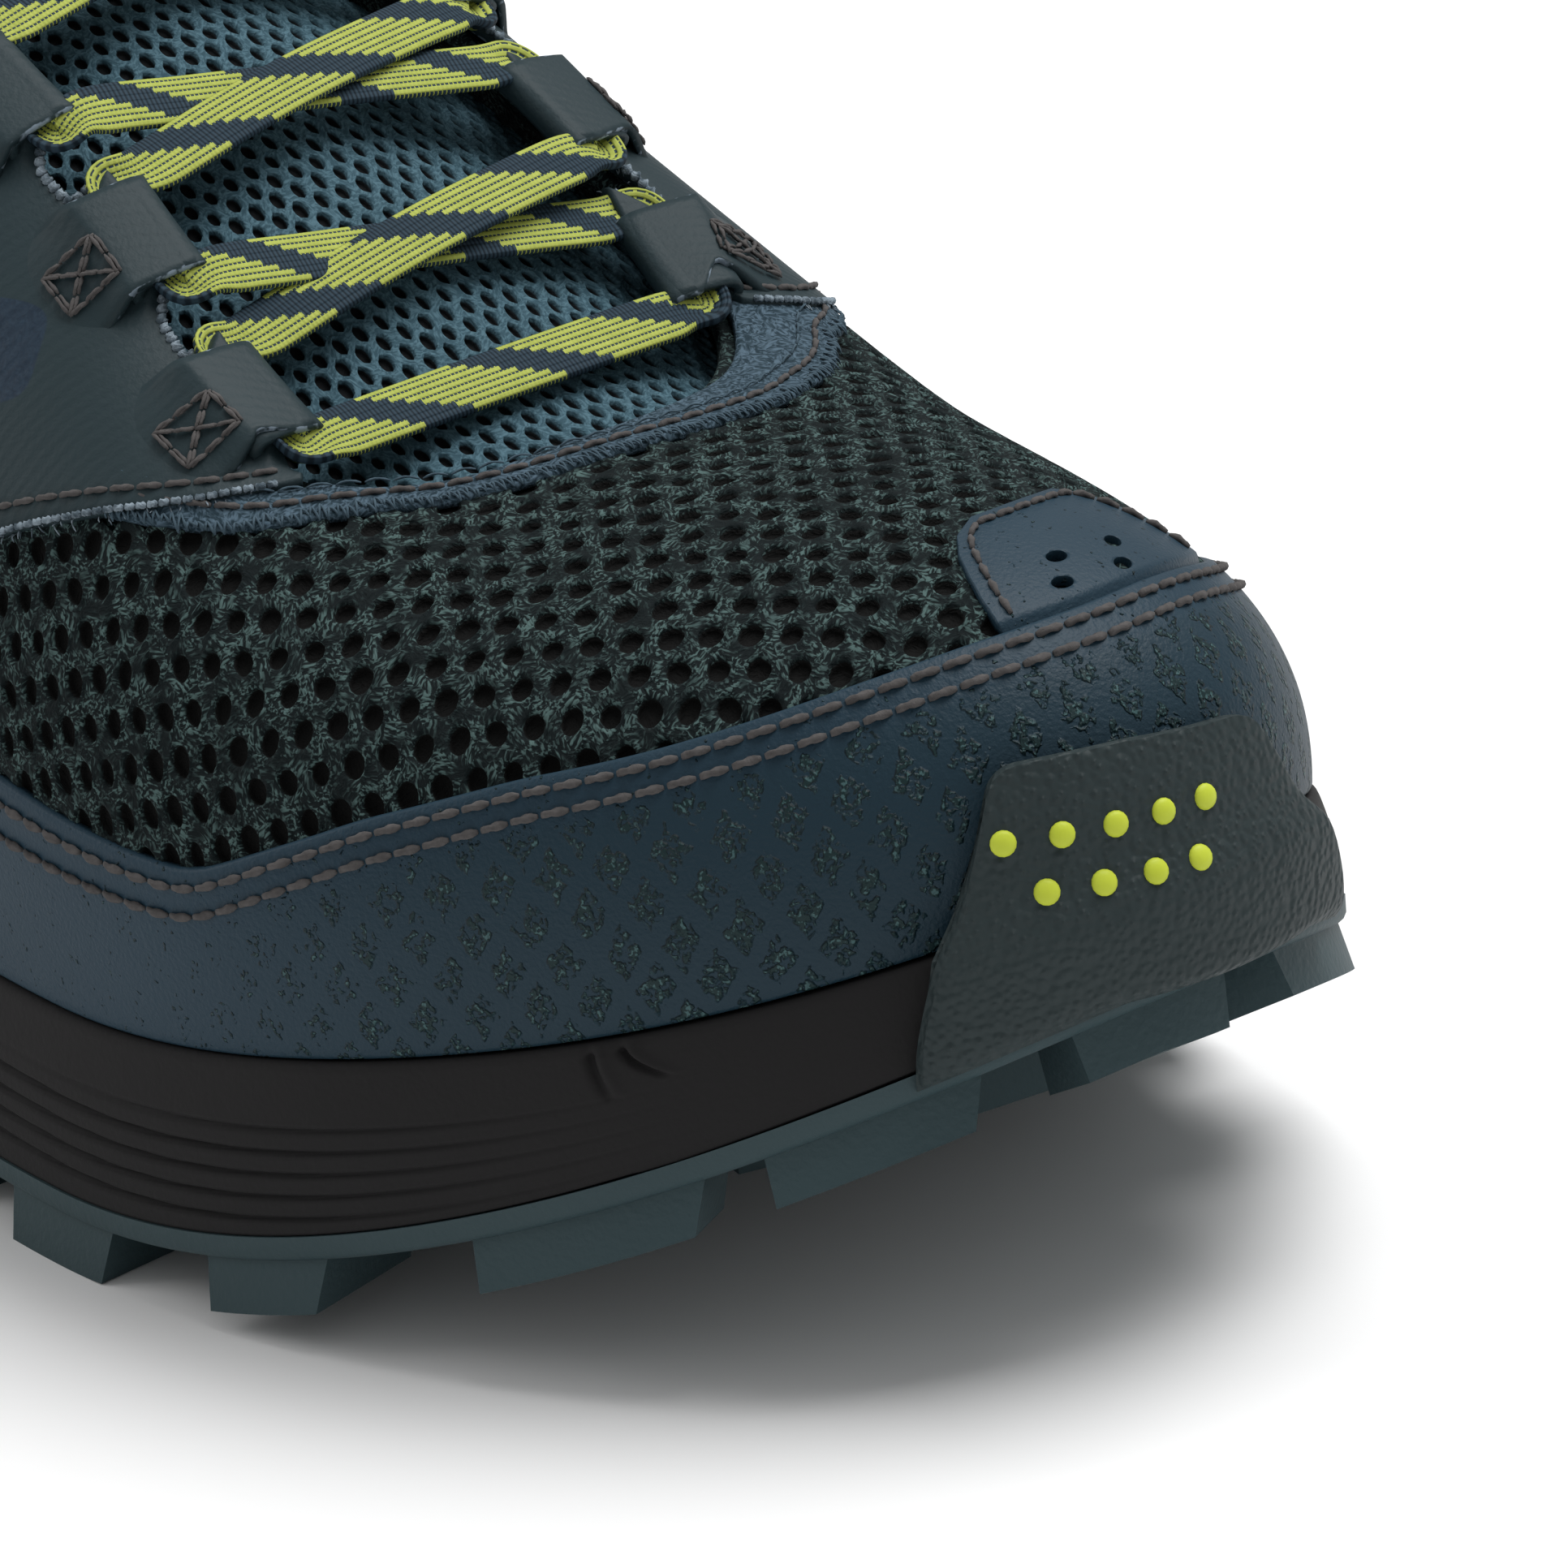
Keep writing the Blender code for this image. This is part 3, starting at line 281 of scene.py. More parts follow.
def tread_height(along):
    share = along / SOLE_LENGTH
    bevel = HEEL_BEVEL * np.clip(1.0 - share / 0.095, 0.0, 1.0) ** 2
    arch = ARCH_RISE * ramp(share, 0.31, 0.39) * ramp(-share, -0.55, -0.47)
    return spring(along) + bevel + arch


def root_height(along):
    return tread_height(along) + LUG_DEPTH


def footbed_height(along):
    rows = columns_of(FOOTBED)
    return spring(along) + HEEL_STACK * np.interp(along / SOLE_LENGTH, rows[0], rows[1])


def section_values():
    rows = dict(zip(SECTION_NAMES, columns_of(SECTIONS)))
    height = rows["of_heel"] * HEEL_HEIGHT + rows["of_instep"] * INSTEP_HEIGHT
    return np.column_stack((
        rows["along"] * SOLE_LENGTH, rows["side"] * HALF, rows["rim"] * HEEL_STACK,
        rows["open_along"] * SOLE_LENGTH, rows["open_side"] * HALF, height,
        rows["rise"], rows["lean"] * HALF, rows["reach"], np.radians(rows["slope"]),
    ))


def closed_spline(knots, values):
    """Second derivatives of the closed cubic spline through values, whose last row repeats the first."""
    count = len(knots) - 1
    step = np.diff(knots)
    slope = np.diff(values, axis=0) / step[:, None]
    matrix = np.zeros((count, count))
    for row in range(count):
        matrix[row, row - 1] += step[row - 1]
        matrix[row, row] += 2.0 * (step[row - 1] + step[row])
        matrix[row, (row + 1) % count] += step[row]
    bend = np.linalg.solve(matrix, 6.0 * (slope - np.roll(slope, 1, axis=0)))
    return np.vstack((bend, bend[:1]))


def run_along(points):
    """How far along a line of points each of them is."""
    return np.concatenate(([0.0], np.cumsum(np.linalg.norm(np.diff(points, axis=0), axis=1))))


def unit(vectors):
    return vectors / np.linalg.norm(vectors, axis=-1, keepdims=True)


LOOPED = section_values()
LOOPED = np.vstack((LOOPED, LOOPED[:1]))
KNOTS = run_along(LOOPED[:, :2])
OUTLINE_LENGTH = KNOTS[-1]
KNOTS = KNOTS / OUTLINE_LENGTH
BENDS = closed_spline(KNOTS, LOOPED)


def section_at(share):
    share = np.mod(np.asarray(share, float), 1.0)
    right_knot = np.clip(np.searchsorted(KNOTS, share, side="right"), 1, len(KNOTS) - 1)
    left_knot = right_knot - 1
    step = (KNOTS[right_knot] - KNOTS[left_knot])[..., None]
    far = (share - KNOTS[left_knot])[..., None] / step
    near = 1.0 - far
    curve = near * LOOPED[left_knot] + far * LOOPED[right_knot]
    bend = (near ** 3 - near) * BENDS[left_knot] + (far ** 3 - far) * BENDS[right_knot]
    return curve + bend * step ** 2 / 6.0


def inward(share):
    """Unit vectors in plan, at right angles to the outline and into the shoe."""
    small = 1e-4
    share = np.asarray(share)
    tangent = unit(section_at(share + small)[..., :2] - section_at(share - small)[..., :2])
    return np.stack((-tangent[..., 1], tangent[..., 0]), axis=-1)


def outline_points(share, inset, height):
    """Points beside the sole's outline, inset into the shoe, at a height, which may depend on along."""
    plan = section_at(share)[..., :2] + inward(share) * np.asarray(inset)[..., None]
    level = height(plan[..., 0]) if callable(height) else height
    return np.concatenate((plan, np.broadcast_to(level, plan.shape[:-1])[..., None]), axis=-1)


def rim_height(share):
    values = section_at(share)
    return values[..., 2] + spring(values[..., 0])


def upper_surface(share, up):
    """The upper's outer face: up is 0 at the sole's rim, 1 at the opening, and then it goes straight on."""
    share, up = np.broadcast_arrays(np.asarray(share, float), np.asarray(up, float))
    values = section_at(share)
    foot = outline_points(share, UPPER_INSET, rim_height(share))
    edge = values[..., 3:6]
    flat = edge[..., :2] - foot[..., :2]
    length = np.linalg.norm(flat, axis=-1, keepdims=True)
    flat = flat / length
    climb = (edge[..., 2:3] - foot[..., 2:3]) * values[..., 6:7]
    lower = foot + np.concatenate((-flat * values[..., 7:8], climb), axis=-1)
    run = length * values[..., 8:9]
    slope = values[..., 9:10]
    higher = edge - np.concatenate((flat * run * np.cos(slope), run * np.sin(slope)), axis=-1)
    t = np.minimum(up, 1.0)[..., None]
    point = foot * (1 - t) ** 3 + 3 * lower * t * (1 - t) ** 2 + 3 * higher * t * t * (1 - t) + edge * t ** 3
    return point + 3.0 * (edge - higher) * np.maximum(up - 1.0, 0.0)[..., None]


def upper_normal(share, up):
    small = 1e-4
    round_the_shoe = upper_surface(share + small, up) - upper_surface(share - small, up)
    up_the_wall = upper_surface(share, up + small) - upper_surface(share, np.maximum(up - small, 0.0))
    return unit(np.cross(round_the_shoe, up_the_wall))


def on_upper(share, up, out):
    """Points on the upper's outer face, moved outwards along its normal."""
    share, up = np.broadcast_arrays(np.asarray(share, float), np.asarray(up, float))
    return upper_surface(share, up) + upper_normal(share, up) * np.asarray(out)[..., None]


def shaped_grid(name, points, closed_round=False, closed_across=False):
    """A grid primitive laid through rows of points, closed into a band or a tube where its ends meet."""
    points = np.asarray(points, float)
    if closed_round:
        points = np.concatenate((points, points[:, :1]), axis=1)
    if closed_across:
        points = np.concatenate((points, points[:1]), axis=0)
    rows, columns = points.shape[:2]
    select_only()
    bpy.ops.mesh.primitive_grid_add(x_subdivisions=columns - 1, y_subdivisions=rows - 1, size=1.0)
    piece = bpy.context.object
    piece.name = name
    piece.data.vertices.foreach_set("co", (points.reshape(-1, 3) + PLACE).ravel())
    piece.data.update()
    return piece


def join_pieces(pieces):
    """Joins pieces into the first one."""
    select_only(*pieces)
    if len(pieces) > 1:
        bpy.ops.object.join()
    return bpy.context.object


def close_up(piece):
    """Merges the doubles where edges meet, turns the faces outwards and shades them smooth."""
    select_only(piece)
    bpy.ops.object.mode_set(mode="EDIT")
    bpy.ops.mesh.select_all(action="SELECT")
    bpy.ops.mesh.remove_doubles(threshold=0.00001)
    bpy.ops.mesh.normals_make_consistent(inside=False)
    bpy.ops.object.mode_set(mode="OBJECT")
    bpy.ops.object.shade_smooth()
    return piece


def lid_points(ring, strips, height):
    """Rows of points across a ring of points round the sole, from its left half to its right half."""
    ring = np.asarray(ring)
    half = len(ring) // 2
    left_side = ring[: half + 1]
    right_side = np.concatenate((ring[:1], ring[:half - 1:-1]))
    share = np.linspace(0.0, 1.0, strips + 1)[:, None, None]
    points = left_side * (1.0 - share) + right_side * share
    points[1:-1, :, 2] = height(points[1:-1, :, 0])
    points[1:-1, 0] = ring[0]
    points[1:-1, -1] = ring[half]
    return points


def finish_piece(piece, material, slot, *nodes):
    """Gives a piece its material, hangs it on the root body, and hides the model's solids that it stands for.
    """
    piece.data.materials.clear()
    piece.data.materials.append(material)
    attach(piece, "root")
    if nodes:
        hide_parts(*nodes)


def even_shares(count):
    return np.arange(count) / count


# Insole
# A thin foam sheet with a cloth cover, cut to the footbed. It lies loose in the shoe, inside the foot of the
# upper's wall.

INSOLE_THICKNESS = 0.004
UPPER_WALL = 0.002
share = even_shares(240)
edge = UPPER_INSET + SKIRT_INSET + UPPER_WALL + 3.0 * CLEARANCE
insole_base = lambda along: footbed_height(along) + CLEARANCE
insole_top = lambda along: insole_base(along) + INSOLE_THICKNESS
side_rings = [
    outline_points(share, edge, insole_base),
    outline_points(share, edge, lambda along: insole_base(along) + 0.75 * INSOLE_THICKNESS),
    outline_points(share, edge + 0.25 * INSOLE_THICKNESS, insole_top),
]
insole = close_up(join_pieces([
    shaped_grid("insole_sheet", side_rings, closed_round=True),
    shaped_grid("insole_low", lid_points(side_rings[0], 10, insole_base)),
    shaped_grid("insole_high", lid_points(side_rings[-1], 10, insole_top)),
]))
insole_cloth = speckled(
    "insole_cloth", 0.9, 0.006, (0.010, 0.011, 0.013), (0.028, 0.029, 0.033), 0.0004, 0.00015,
)
finish_piece(insole, insole_cloth, "insole_cloth", "insole")


# Midsole
# A black foam cup, moulded in one, with flowing grooves along its side that fade towards the toe, and two
# short creases worn into it near the toe.

MIDSOLE_INSET = 0.0007
RIM_WIDTH = 0.002
GROOVES = 4
GROOVE_DEPTH = 0.0010
GROOVE_CLIMB = 1.45
GROOVE_SWAY = 0.45
CREASE_WIDTH = 0.0007
CREASES = ((0.4165, 1.00, 0.4195, 0.62, 0.0007), (0.4210, 1.00, 0.4275, 0.72, 0.0009))
share = np.union1d(even_shares(320), np.linspace(0.410, 0.434, 90))
along = section_at(share)[:, 0]
foam_base = lambda along: root_height(along) + OUTSOLE_THICKNESS + 0.3 * CLEARANCE
base = foam_base(along)
rim = rim_height(share)
shoulder = rim - 0.4 * RIM_WIDTH
inner = UPPER_INSET - CLEARANCE
outer = inner - RIM_WIDTH
fade = ramp(-along / SOLE_LENGTH, -0.93, -0.72)
rings = []
for up in np.linspace(0.0, 1.0, 66):
    wave = up * GROOVE_CLIMB * (GROOVES + 1.0) + GROOVE_SWAY * np.sin(along / SOLE_LENGTH * 9.0)
    groove = (0.5 + 0.5 * np.cos(2.0 * math.pi * wave)) ** 9 * ramp(up, 0.04, 0.10) * ramp(-up, -0.74, -0.60)
    inset = MIDSOLE_INSET + (outer - MIDSOLE_INSET) * up ** 2 + GROOVE_DEPTH * groove * fade
    for share_a, up_a, share_b, up_b, depth in CREASES:
        part = (up_a - up) / (up_a - up_b)
        if part < 1.0:
            middle = share_a + (share_b - share_a) * part ** 1.5
            offset = (share - middle) * OUTLINE_LENGTH / CREASE_WIDTH
            fold = 1.3 * np.exp(-2.0 * offset ** 2) - 0.6 * np.exp(-(offset - 1.6) ** 2)
            inset = inset + depth * fold * math.sqrt(1.0 - part) * min(1.0, (1.02 - up) / 0.05)
    rings.append(outline_points(share, inset, base + (shoulder - base) * up))
for inset, height in (
    (outer + 0.12 * RIM_WIDTH, rim - 0.12 * RIM_WIDTH), (outer + 0.35 * RIM_WIDTH, rim), (inner, rim),
    (inner + SKIRT_INSET, footbed_height),
):
    rings.append(outline_points(share, inset, height))
midsole = close_up(join_pieces([
    shaped_grid("midsole_foam", rings, closed_round=True),
    shaped_grid("midsole_low", lid_points(rings[0], 8, foam_base)),
    shaped_grid("midsole_high", lid_points(rings[-1], 8, footbed_height)),
]))
foam = speckled(
    "midsole_foam", 0.75, 0.02, (0.0090, 0.0085, 0.0090), (0.0150, 0.0145, 0.0150), 0.00035, 0.00007, 3.0,
)
finish_piece(midsole, foam, "midsole_foam", "midsole")


# Upper
# One knitted spacer-mesh wall, shaped on the last, padded round the ankle, open at the collar and the throat
# and stitched to the sole at its foot.

COLLAR_PADDING = 0.0045
share = even_shares(420)
from_heel = np.minimum(share, 1.0 - share)
ankle = ramp(-from_heel, -0.21, -0.15)
foot = footbed_height(section_at(share)[:, 0]) + CLEARANCE
skirt = UPPER_INSET + SKIRT_INSET
face = [outline_points(share, skirt, foot)]
lining = [outline_points(share, skirt + UPPER_WALL, foot)]
for up in np.linspace(0.0, 1.0, 41):
    wall = UPPER_WALL + COLLAR_PADDING * ankle * ramp(up, 0.45, 0.80)
    face.append(on_upper(share, up, 0.0))
    lining.append(on_upper(share, up, -wall))
wall = UPPER_WALL + COLLAR_PADDING * ankle
rise = unit(upper_surface(share, 1.01) - upper_surface(share, 1.0))
roll = []
for turn in np.linspace(0.0, math.pi, 9)[1:-1]:
    depth = -0.5 * wall * (1.0 - math.cos(turn))
    roll.append(on_upper(share, 1.0, depth) + rise * (0.35 * wall * math.sin(turn))[:, None])
wall_rows = face + roll + lining[::-1]
upper = close_up(shaped_grid("upper_shell", wall_rows, closed_round=True, closed_across=True))
knit, knit_shader = new_material("upper_knit", 0.9)
knit_strands = strands(knit, 0.0014, 0.00015)
knit_patches = step_up(knit, grain(knit, 0.0011), 0.30, 0.62)
knit_light = reckon(knit, "MULTIPLY", step_up(knit, knit_strands, 0.46, 0.66), knit_patches)
knit_tone = blend(knit, knit_light, (0.0022, 0.0060, 0.0070), (0.0720, 0.1220, 0.1180))
# Painted shade: the floors of the knit's holes, and its back, are painted near black for the shade that falls
# deep in the holes.
knit_hole_shade = step_up(knit, value_of(knit, "depth"), 0.15, 0.6)
knit_tone = blend(knit, knit_hole_shade, knit_tone, (0.0008, 0.0010, 0.0010))
paint(knit, knit_shader, knit_tone, reckon(knit, "ADD", knit_strands, grain(knit, 0.0007)), 0.00022)
finish_piece(upper, knit, "upper_mesh", "upper")

# Knit face
# The open spacer knit of the vamp and the quarters: a thick dark cloth full of round holes in staggered rows,
# laid over the shoe as flat cloth lies, so that its rows keep their pitch. Its edges are sewn under the
# overlays.

HOLE_ROW = 0.00295
HOLE_PITCH = 0.0044
HOLE_RADIUS = 0.00112
KNIT_THICKNESS = 0.0010
HOLE_SIDES = 16
RAND = (
    (0.130, 0.14), (0.18, 0.14), (0.22, 0.15), (0.26, 0.19), (0.29, 0.22), (0.313, 0.23), (0.355, 0.23),
    (0.370, 0.28), (0.385, 0.32), (0.411, 0.355), (0.451, 0.37), (0.480, 0.385), (0.549, 0.385), (0.580, 0.37),
    (0.615, 0.345), (0.645, 0.28), (0.665, 0.23), (0.700, 0.22), (0.740, 0.19), (0.780, 0.15), (0.870, 0.14),
)
COUNTER = (
    (-0.130, 0.14), (-0.115, 0.20), (-0.090, 0.36), (-0.060, 0.52), (-0.030, 0.60), (0.0, 0.62),
    (0.030, 0.60), (0.060, 0.52), (0.090, 0.36), (0.115, 0.20), (0.130, 0.14),
)
EYESTAY = (
    (0.216, 0.90), (0.223, 0.80), (0.236, 0.66), (0.255, 0.54), (0.280, 0.46), (0.300, 0.45), (0.312, 0.49),
    (0.327, 0.59), (0.342, 0.70), (0.353, 0.79), (0.361, 0.86), (0.369, 0.92), (0.376, 0.965),
)
INNER_TIP = 0.596
INNER_STRETCH = 1.12
SEAM = (
    (0.334, 0.637), (0.343, 0.684), (0.354, 0.747), (0.367, 0.823), (0.380, 0.893), (0.395, 0.928),
    (0.429, 0.940), (0.484, 0.935), (0.510, 0.925), (0.550, 0.905), (0.580, 0.868), (0.593, 0.850),
    (0.606, 0.823), (0.6206, 0.747), (0.633, 0.684), (0.643, 0.637),
)


def smooth_edge(share, table, width=0.004):
    """A table's edge at each share round the shoe, its corners rounded over the given width."""
    steps = np.linspace(-width, width, 9)
    return np.mean([np.interp(share + step, *columns_of(table)) for step in steps], axis=0)


def eyestay_line(side):
    """The eyestay's shares round the shoe and its lower edge, on the outer (-1) or the inner side (+1)."""
    share, low = columns_of(EYESTAY)
    if side > 0:
        share = INNER_TIP + (share[-1] - share) * INNER_STRETCH
        share, low = share[::-1], low[::-1]
    return share, low


def point_mesh(name, points, faces):
    """A mesh from points in the last's frame and lists of corners."""
    data = bpy.data.meshes.new(name)
    corners = [tuple(point) for point in np.asarray(points) + PLACE]
    data.from_pydata(corners, [], [tuple(face) for face in faces])
    data.update()
    piece = bpy.data.objects.new(name, data)
    bpy.context.scene.collection.objects.link(piece)
    return piece


def vertex_value(piece, name, values):
    layer = piece.data.attributes.new(name, "FLOAT", "POINT")
    layer.data.foreach_set("value", np.asarray(values, float).ravel())


def values_at(piece, name):
    values = np.zeros(len(piece.data.vertices))
    piece.data.attributes[name].data.foreach_get("value", values)
    return values


def cloth_sheet(low_along, high_along, reach):
    """Where flat cloth laid over the upper comes to lie, for each millimetre along the shoe and out from the
    middle: side, height, share round the shoe, share up the wall, and whether there is any upper."""
    columns, rows = 700, 70
    share_grid, up_grid = np.meshgrid(
        np.linspace(0.0, 1.0, columns), np.linspace(0.0, 1.0, rows), indexing="ij",
    )
    points = on_upper(share_grid, up_grid, 0.0)
    corners = np.arange((columns - 1) * (rows - 1))
    first = corners // (rows - 1) * rows + corners % (rows - 1)
    faces = np.stack((first, first + rows, first + rows + 1, first + 1), axis=1)
    tree = BVHTree.FromPolygons(points.reshape(-1, 3).tolist(), faces.tolist())
    turns = np.radians(np.linspace(-112.0, 112.0, 225))
    alongs = np.arange(low_along, high_along, 0.001)
    outs = np.arange(-reach, reach + 1e-9, 0.001)
    table = np.zeros((len(alongs), len(outs), 5))
    for row, along in enumerate(alongs):
        start = Vector((along, 0.0, float(footbed_height(np.array(along))) + 0.006))
        found = np.full((len(turns), 3), np.nan)
        for i, turn in enumerate(turns):
            hit = tree.ray_cast(start, Vector((0.0, -math.sin(turn), math.cos(turn))))
            if hit[0] is not None:
                column, place = divmod(hit[2], rows - 1)
                found[i] = ((hit[0] - start).length, share_grid[column, 0], up_grid[0, place])
        there = ~np.isnan(found[:, 0])
        span = np.interp(turns, turns[there], found[there, 0])
        side, height = -span * np.sin(turns), span * np.cos(turns)
        run = run_along(np.column_stack((side, height)))
        run -= np.interp(0.0, turns, run)
        table[row, :, 0] = np.interp(outs, run, side)
        table[row, :, 1] = np.interp(outs, run, height) + start.z
        table[row, :, 2] = np.interp(outs, run, np.where(there, found[:, 1], 0.0))
        table[row, :, 3] = np.interp(outs, run, np.where(there, found[:, 2], 9.0))
        table[row, :, 4] = np.interp(outs, run, there.astype(float))
    return alongs, outs, table


SHEET_ALONG, SHEET_OUT, SHEET = cloth_sheet(0.055, 0.286, 0.090)


def read_sheet(sheet, first_along, first_out, along, out):
    """Interpolates a cloth sheet that has a row for each millimetre along and a place for each one out."""
    row = np.clip((along - first_along) / 0.001, 0.0, sheet.shape[0] - 1.001)
    column = np.clip((out - first_out) / 0.001, 0.0, sheet.shape[1] - 1.001)
    i, j = row.astype(int), column.astype(int)
    a, b = (row - i)[..., None], (column - j)[..., None]
    near = sheet[i, j] * (1 - a) + sheet[i + 1, j] * a
    return near * (1 - b) + (sheet[i, j + 1] * (1 - a) + sheet[i + 1, j + 1] * a) * b


def on_sheet(along, out):
    """The cloth's point, share, up and whether there is any upper, at each place of the cloth."""
    value = read_sheet(SHEET, SHEET_ALONG[0], SHEET_OUT[0], along, out)
    point = np.concatenate((np.asarray(along)[..., None], value[..., :2]), axis=-1)
    return point, value[..., 2], value[..., 3], value[..., 4]


def cloth_normal(place, along, out):
    """The outward normal of a cloth whose places are known."""
    small = 0.0006
    forward = place(along + small, out) - place(along - small, out)
    across = place(along, out + small) - place(along, out - small)
    normal = np.cross(across, forward)
    return normal / np.maximum(np.linalg.norm(normal, axis=-1, keepdims=True), 1e-12)


def knit_zone(share, up, there):
    """Which of the cloth is open knit: above the rand, below the seam and the eyestays, off the heel."""
    from_heel = np.minimum(share, 1.0 - share)
    low = smooth_edge(share, RAND) - 0.05
    counter = np.interp(np.where(share > 0.5, share - 1.0, share), *columns_of(COUNTER)) - 0.05
    high = np.interp(share, *columns_of(SEAM), left=1.0, right=1.0) + 0.02
    for side in (-1, 1):
        high = np.minimum(high, np.interp(share, *eyestay_line(side), left=1.0, right=1.0) + 0.05)
    high = np.minimum(high, 0.62 + 0.40 * ramp(from_heel, 0.17, 0.22))
    low = np.maximum(low, np.where(from_heel < 0.13, counter, 0.0))
    return (there > 0.97) & (up > low) & (up < high) & (from_heel > 0.105)


def ring_faces(low, high, sides):
    """The faces between two rings of points, given the number of each ring's first point."""
    here = np.arange(sides)
    after = np.roll(here, -1)
    return np.stack((low + here, low + after, high + after, high + here), axis=1).tolist()


def open_knit(
    name, row_pitch, pitch, low_along, high_along, reach, place, zone, radius, thickness, point=0.5,
):
    """A sheet of cloth with staggered holes that have a floor: rings of faces round each, a plain back."""
    normal = lambda along, out: cloth_normal(place, along, out)
    rows = int((high_along - low_along) / row_pitch)
    side = int(reach / pitch) + 1
    cells = np.array([
        (row, column) for row in range(rows) for column in range(-2 * side + row % 2, 2 * side + 1, 2)
    ])
    along = low_along + cells[:, 0] * row_pitch
    out = cells[:, 1] * pitch / 2.0
    kept = zone(along, out)
    cells, along, out = cells[kept], along[kept], out[kept]
    tip, base = 2.0 * point, 2.0 - 2.0 * point
    corner = np.array(((-base, -1), (-tip, 0), (-base, 1), (0, 1), (base, 1), (tip, 0), (base, -1), (0, -1)))
    corner_offset = corner * np.array((row_pitch / 2.0, pitch / 2.0))
    ring = np.zeros((HOLE_SIDES, 2))
    ring[::2] = corner_offset
    ring[1::2] = (corner_offset + np.roll(corner_offset, -1, axis=0)) / 2.0
    turn = np.arctan2(ring[:, 1] / radius[1], ring[:, 0] / radius[0])
    circle = np.column_stack((np.cos(turn) * radius[0], np.sin(turn) * radius[1]))
    wobble = np.random.default_rng(3).uniform(0.86, 1.12, (len(cells), 1, 2))
    circle = circle * wobble
    layers = (
        (ring, 0.80, 0.0), (circle * 0.55 + ring * 0.45, 1.0, 0.0), (circle * 1.04, 0.82, 0.1),
        (circle * 0.92, 0.12, 1.0),
    )
    places, deep, faces = [], [], []
    count = len(cells)
    for offsets, height, depth in layers:
        a = along[:, None] + offsets[..., 0]
        b = out[:, None] + offsets[..., 1]
        places.append(place(a, b) + normal(a, b) * (height * thickness))
        deep.append(np.full(a.shape, depth))
    points = np.stack(places, axis=1).reshape(-1, 3)
    deep = np.stack(deep, axis=1).reshape(-1)
    per_cell = HOLE_SIDES * len(layers)
    here = np.arange(HOLE_SIDES)
    for cell in range(count):
        floor_start = (cell + 1) * per_cell - HOLE_SIDES
        for low in range(cell * per_cell, floor_start, HOLE_SIDES):
            faces.extend(ring_faces(low, low + HOLE_SIDES, HOLE_SIDES))
        faces.append((floor_start + here).tolist())
    a = along[:, None] + ring[:, 0]
    b = out[:, None] + ring[:, 1]
    back = (place(a, b) - normal(a, b) * (0.3 * thickness)).reshape(-1, 3)
    offset = len(points)
    for cell in range(count):
        faces.append((offset + cell * HOLE_SIDES + here[::-1]).tolist())
    edges = {}
    for cell, (row, column) in enumerate(cells):
        for i in range(HOLE_SIDES):
            middle = (ring[i] + ring[(i + 1) % HOLE_SIDES]) / 2.0 / np.array((row_pitch / 4.0, pitch / 4.0))
            key = (round(float(row * 4 + middle[0]), 2), round(float(column * 2 + middle[1]), 2))
            edges.setdefault(key, []).append((cell, i))
    for owners in edges.values():
        if len(owners) == 1:
            cell, i = owners[0]
            j = (i + 1) % HOLE_SIDES
            top = cell * per_cell
            low = offset + cell * HOLE_SIDES
            faces.append((top + j, top + i, low + i, low + j))
    piece = point_mesh(name, np.vstack((points, back)), faces)
    vertex_value(piece, "depth", np.concatenate((deep, np.ones(len(back)))))
    return close_up(piece)


def vamp_zone(along, out):
    _, share, up, there = on_sheet(along, out)
    return knit_zone(share, up, there)


knit_face = open_knit(
    "upper_knit", HOLE_ROW, HOLE_PITCH, 0.058, 0.284, 0.086, lambda a, b: on_sheet(a, b)[0], vamp_zone,
    (HOLE_RADIUS, HOLE_RADIUS * 1.05), KNIT_THICKNESS,
)
finish_piece(knit_face, knit, "upper_mesh")


# Rand, toe patch and heel counter
# Slate blue film with a fine grain, cut from sheet and laid over the knit: a band round the upper's foot, a
# rounded patch with four vent holes that runs on over the toe, and a deeper piece round the heel.

OVERLAY_GAP = 0.0005
RAND_THICKNESS = 0.0011
COUNTER_THICKNESS = 0.0014
EDGE_ROUND = 0.0005
EDGE_STEPS = np.array((0.0, 0.1, 0.4))
EDGE_HEIGHTS = np.array((0.0, 0.55, 0.86))
PRINT_PITCH = 0.0058
PRINT_ROW = 0.0038
THREAD_RADIUS = 0.00045
STITCH_PITCH = 0.003
STITCH_SIDES = 8
STITCH_RINGS = 6


def stitches(name, rows, radius, rise, material):
    """Makes a piece of twisted two-ply stitches, from rows of their starts, stops and normals."""
    starts, stops, normals = (np.concatenate(item)[:, None] for item in zip(*rows))
    steps = np.linspace(0.0, 1.0, STITCH_RINGS)[None, :, None]
    ahead = unit(stops - starts)
    wide = unit(np.cross(normals, ahead))
    high = np.cross(ahead, wide)
    bow = np.sin(math.pi * steps)
    centre = starts + (stops - starts) * steps + high * (rise * bow)
    angle = 2.0 * math.pi * even_shares(STITCH_SIDES)
    taper = 0.6 + 0.4 * np.sqrt(np.maximum(bow, 0.0))
    lobes = radius * taper * (0.84 + 0.22 * np.cos(2.0 * angle - 9.0 * steps))
    points = centre[:, :, None] + wide[:, :, None] * (np.cos(angle) * lobes)[..., None]
    points = points + high[:, :, None] * (np.sin(angle) * lobes)[..., None]
    here = np.arange(STITCH_SIDES)
    faces = []
    for first in range(0, STITCH_RINGS * STITCH_SIDES * len(starts), STITCH_RINGS * STITCH_SIDES):
        last = first + (STITCH_RINGS - 1) * STITCH_SIDES
        for low in range(first, last, STITCH_SIDES):
            faces.extend(ring_faces(low, low + STITCH_SIDES, STITCH_SIDES))
        faces.append((first + here[::-1]).tolist())
        faces.append((last + here).tolist())
    finish_piece(close_up(point_mesh(name, points.reshape(-1, 3), faces)), material, "seam_thread")


